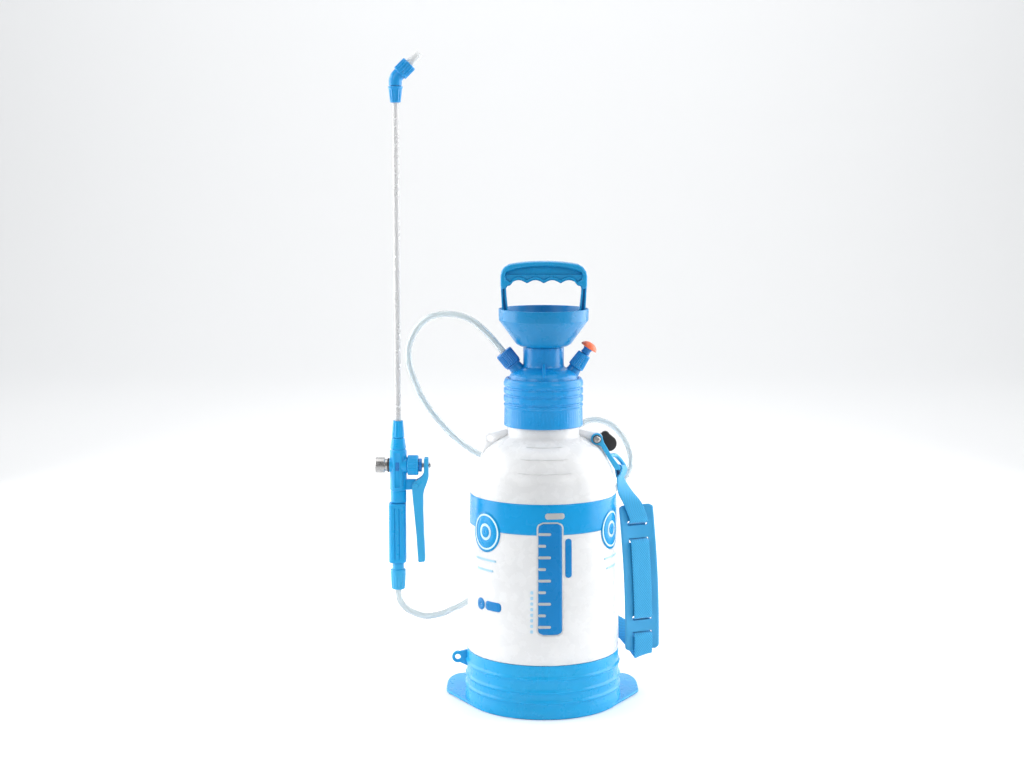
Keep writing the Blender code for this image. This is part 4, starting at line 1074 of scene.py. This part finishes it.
def band(name, rows, thick, paint, nodes):
    # woven band: rows of two edge points, rounded selvedges, lengths kept for the weave
    fineRows = []
    for i in range(len(rows) - 1):
        a, b = rows[max(i - 1, 0)], rows[i]
        c, d = rows[i + 1], rows[min(i + 2, len(rows) - 1)]
        for step in range(6):
            fineRows.append(tuple(between(a[k], b[k], c[k], d[k], step / 6) for k in (0, 1)))
    fineRows.append(rows[-1])
    section = [(-1, 0), (-0.97, 0.5), (-0.9, 0.62), (-0.45, 0.46), (0, 0.46)]
    section += mirrored(section[1:4])
    section += [(-x, -y) for x, y in section]
    shape = bmesh.new()
    weave = shape.loops.layers.uv.new("weave")
    made, lengths = [], [0.0]
    for i, (left, right) in enumerate(fineRows):
        before, after = fineRows[max(i - 1, 0)], fineRows[min(i + 1, len(fineRows) - 1)]
        along = ((after[0] + after[1]) - (before[0] + before[1])).normalized()
        centre = (left + right) / 2
        across = (right - left) / 2
        off = across.cross(along).normalized() * thick
        made.append([shape.verts.new((centre + across * x + off * y) * mm) for x, y in section])
        if i:
            lengths.append(lengths[-1] + ((left + right) - (before[0] + before[1])).length / 2 * mm)
    half = strap["webWidth"] / 2 * mm
    for row in range(len(made) - 1):
        for i in range(len(section)):
            j = (i + 1) % len(section)
            face = shape.faces.new((made[row][i], made[row][j], made[row + 1][j], made[row + 1][i]))
            for loop, (k, ahead) in zip(face.loops, ((i, 0), (j, 0), (j, 1), (i, 1))):
                loop[weave].uv = (section[k][0] * half, lengths[row + ahead])
    capEnds(shape, made)
    return place(name, closeMesh(name, shape), paint, "root", nodes)


def edges(centre, half):
    return Vector(centre) - half, Vector(centre) + half


def strapRows():
    half = strap["webWidth"] / 2
    flat = Vector((math.cos(strap["turn"]), math.sin(strap["turn"]), 0))
    along = strap["along"]
    down = Vector((0, -0.21, -0.98)).normalized()
    outward = down.cross(along).normalized()
    rows = []
    wrap = [(10, -2.2), (5, -3.1), (0, -3.6), (-2.6, -2.6), (-3.6, 0), (-2.6, 2.6), (0, 3.6), (6, 1.8)]
    for fall, out in wrap:
        rows.append(edges(strap["bar"] + down * fall + outward * out, along * half))
    for share, x, y, z in ((0.12, 84.9, 4.5, 243.5), (0.6, 89.4, -2.8, 230.4), (1, 97, -5.1, 218.5)):
        rows.append(edges((x, y, z), along.lerp(flat, share).normalized() * half))
    level = 3.0
    first, second, third, fourth = strap["slots"]
    stops = [(first + 7, level)]
    for high, low in ((first, second), (third, fourth)):
        stops += [(high + 2, level), (high - 2, -level)]
        stops += [((high + low) / 2, -level), (low + 2, -level), (low - 2, level)]
        if low == second:
            stops += [(low - step * (second - third) / 5, level) for step in (1, 2, 3, 4)]
    stops += [(strap["bottom"].z + 3, level)]
    for z, out in stops:
        rows.append((padPoint(z, -half, out), padPoint(z, half, out)))
    for x, y, z, side in (
        (110.4, -1.5, 48.2, (0.90, 0.36, 0.10)), (111, 4, 47, (0.86, 0.34, 0.36)),
        (107.5, 14, 50.5, (0.66, 0.14, 0.74)), (100, 28, 57.5, (0.55, -0.02, 0.83)),
        (88, 46, 66, (0.42, -0.1, 0.9)), (72, 64, 68, (0.2, 0, 0.98)),
        (52, 81, 56, (0, 0, 1)), (28.4, 93, 47, (0, 0, 1)),
    ):
        rows.append(edges((x, y, z), Vector(side).normalized() * half))
    return rows


def makeFittings():
    toBack = aim(Vector((eyelet.x, 0, eyelet.z)), Vector((0, 1, 0)))
    screw = [(0, 12), (2, 12), (2, -8.9), (3.8, -8.9), (3.8, -9.9), (3, -10.8), (1.6, -11.2)]
    screw += [(0, -11.3)]
    head = lathe("strapScrewFine", screw, 64, False, 0.3, toBack)
    slots = [boxMesh(size, at(eyelet.x, -11.3, eyelet.z), 0.1) for size in ((4, 2, 0.9), (0.9, 2, 4))]
    place("strapScrewHead", carve(head, slots), brightSteel, "root", ["strap_screw"])
    ring = [(4.6, -7.6), (4.6, -8.6), (2.4, -8.6), (2.4, -7.6)]
    turned("screwWasher", ring, blackRubber, ["strap_washer"], toBack, "steel", soft=0.2)
    lobe = arc(9.6, 2.5, 4.7, 150, 20, 12) + arc(13.6, -6.6, 8.6, 45, -145, 24) + arc(0, 0, 5, 270, 110, 14)
    nut = slab("thumbNut", [lobe, circle(0, 0, 2.3, 24)], 5.4, 1.2, at(eyelet.x, 5.8, eyelet.z) @ upright)
    place("thumbNut", nut, blackPlastic, "strap_nut", ["thumb_nut"])
    link = arc(eyelet.x, eyelet.z, 6.4, 5, 275, 30)
    link += [(62.4, 281), (68.6, 270.5), (78.2, 254.8), (84.2, 257.2), (73.4, 272), (66, 284.6)]
    plate = slab("plate", [link, circle(eyelet.x, eyelet.z, 2.5, 24)], 4, 0.9, at(0, -5.1, 0) @ upright)
    ring = [(80.9, -5.1, 256.8), (85.4, 8, 254), (89.4, 19.6, 251.5), (90, 22.4, 253), (88.2, 22.2, 257.2)]
    ring += [(80, 14, 267.3), (71, -4.6, 270.5)]
    bar = pipe("bar", smoothRoute(ring, 1.5)[0], 2.3, 0, 28)
    place("strapLink", joined("strapLink", [plate, bar]), leverPlastic, "root", ["strap_link"])


makePad()
band("strapBand", strapRows(), strap["webThick"], blueWebbing, ["strap_webbing"])
makeFittings()
print("sprayer: strap made")

# what stays as modelled, inside
insideFinishes = {
    blackRubber: "neck_gasket pump_check_valve piston_seal gland_seal valve_seal nozzle_seal",
    brightSteel: "relief_spring pump_rod valve_spring",
    whitePlastic: "pump_barrel dip_tube hose_tail_strainer swirl_core",
    deepPlastic: "hose_nut_seal relief_seal relief_valve_disc pump_cap pump_piston dip_strainer",
}
for paint, names in insideFinishes.items():
    for name in names.split():
        kept = frame["nodes"][name]
        for slot in kept.material_slots:
            slot.material = paint
print("sprayer: inner parts finished")
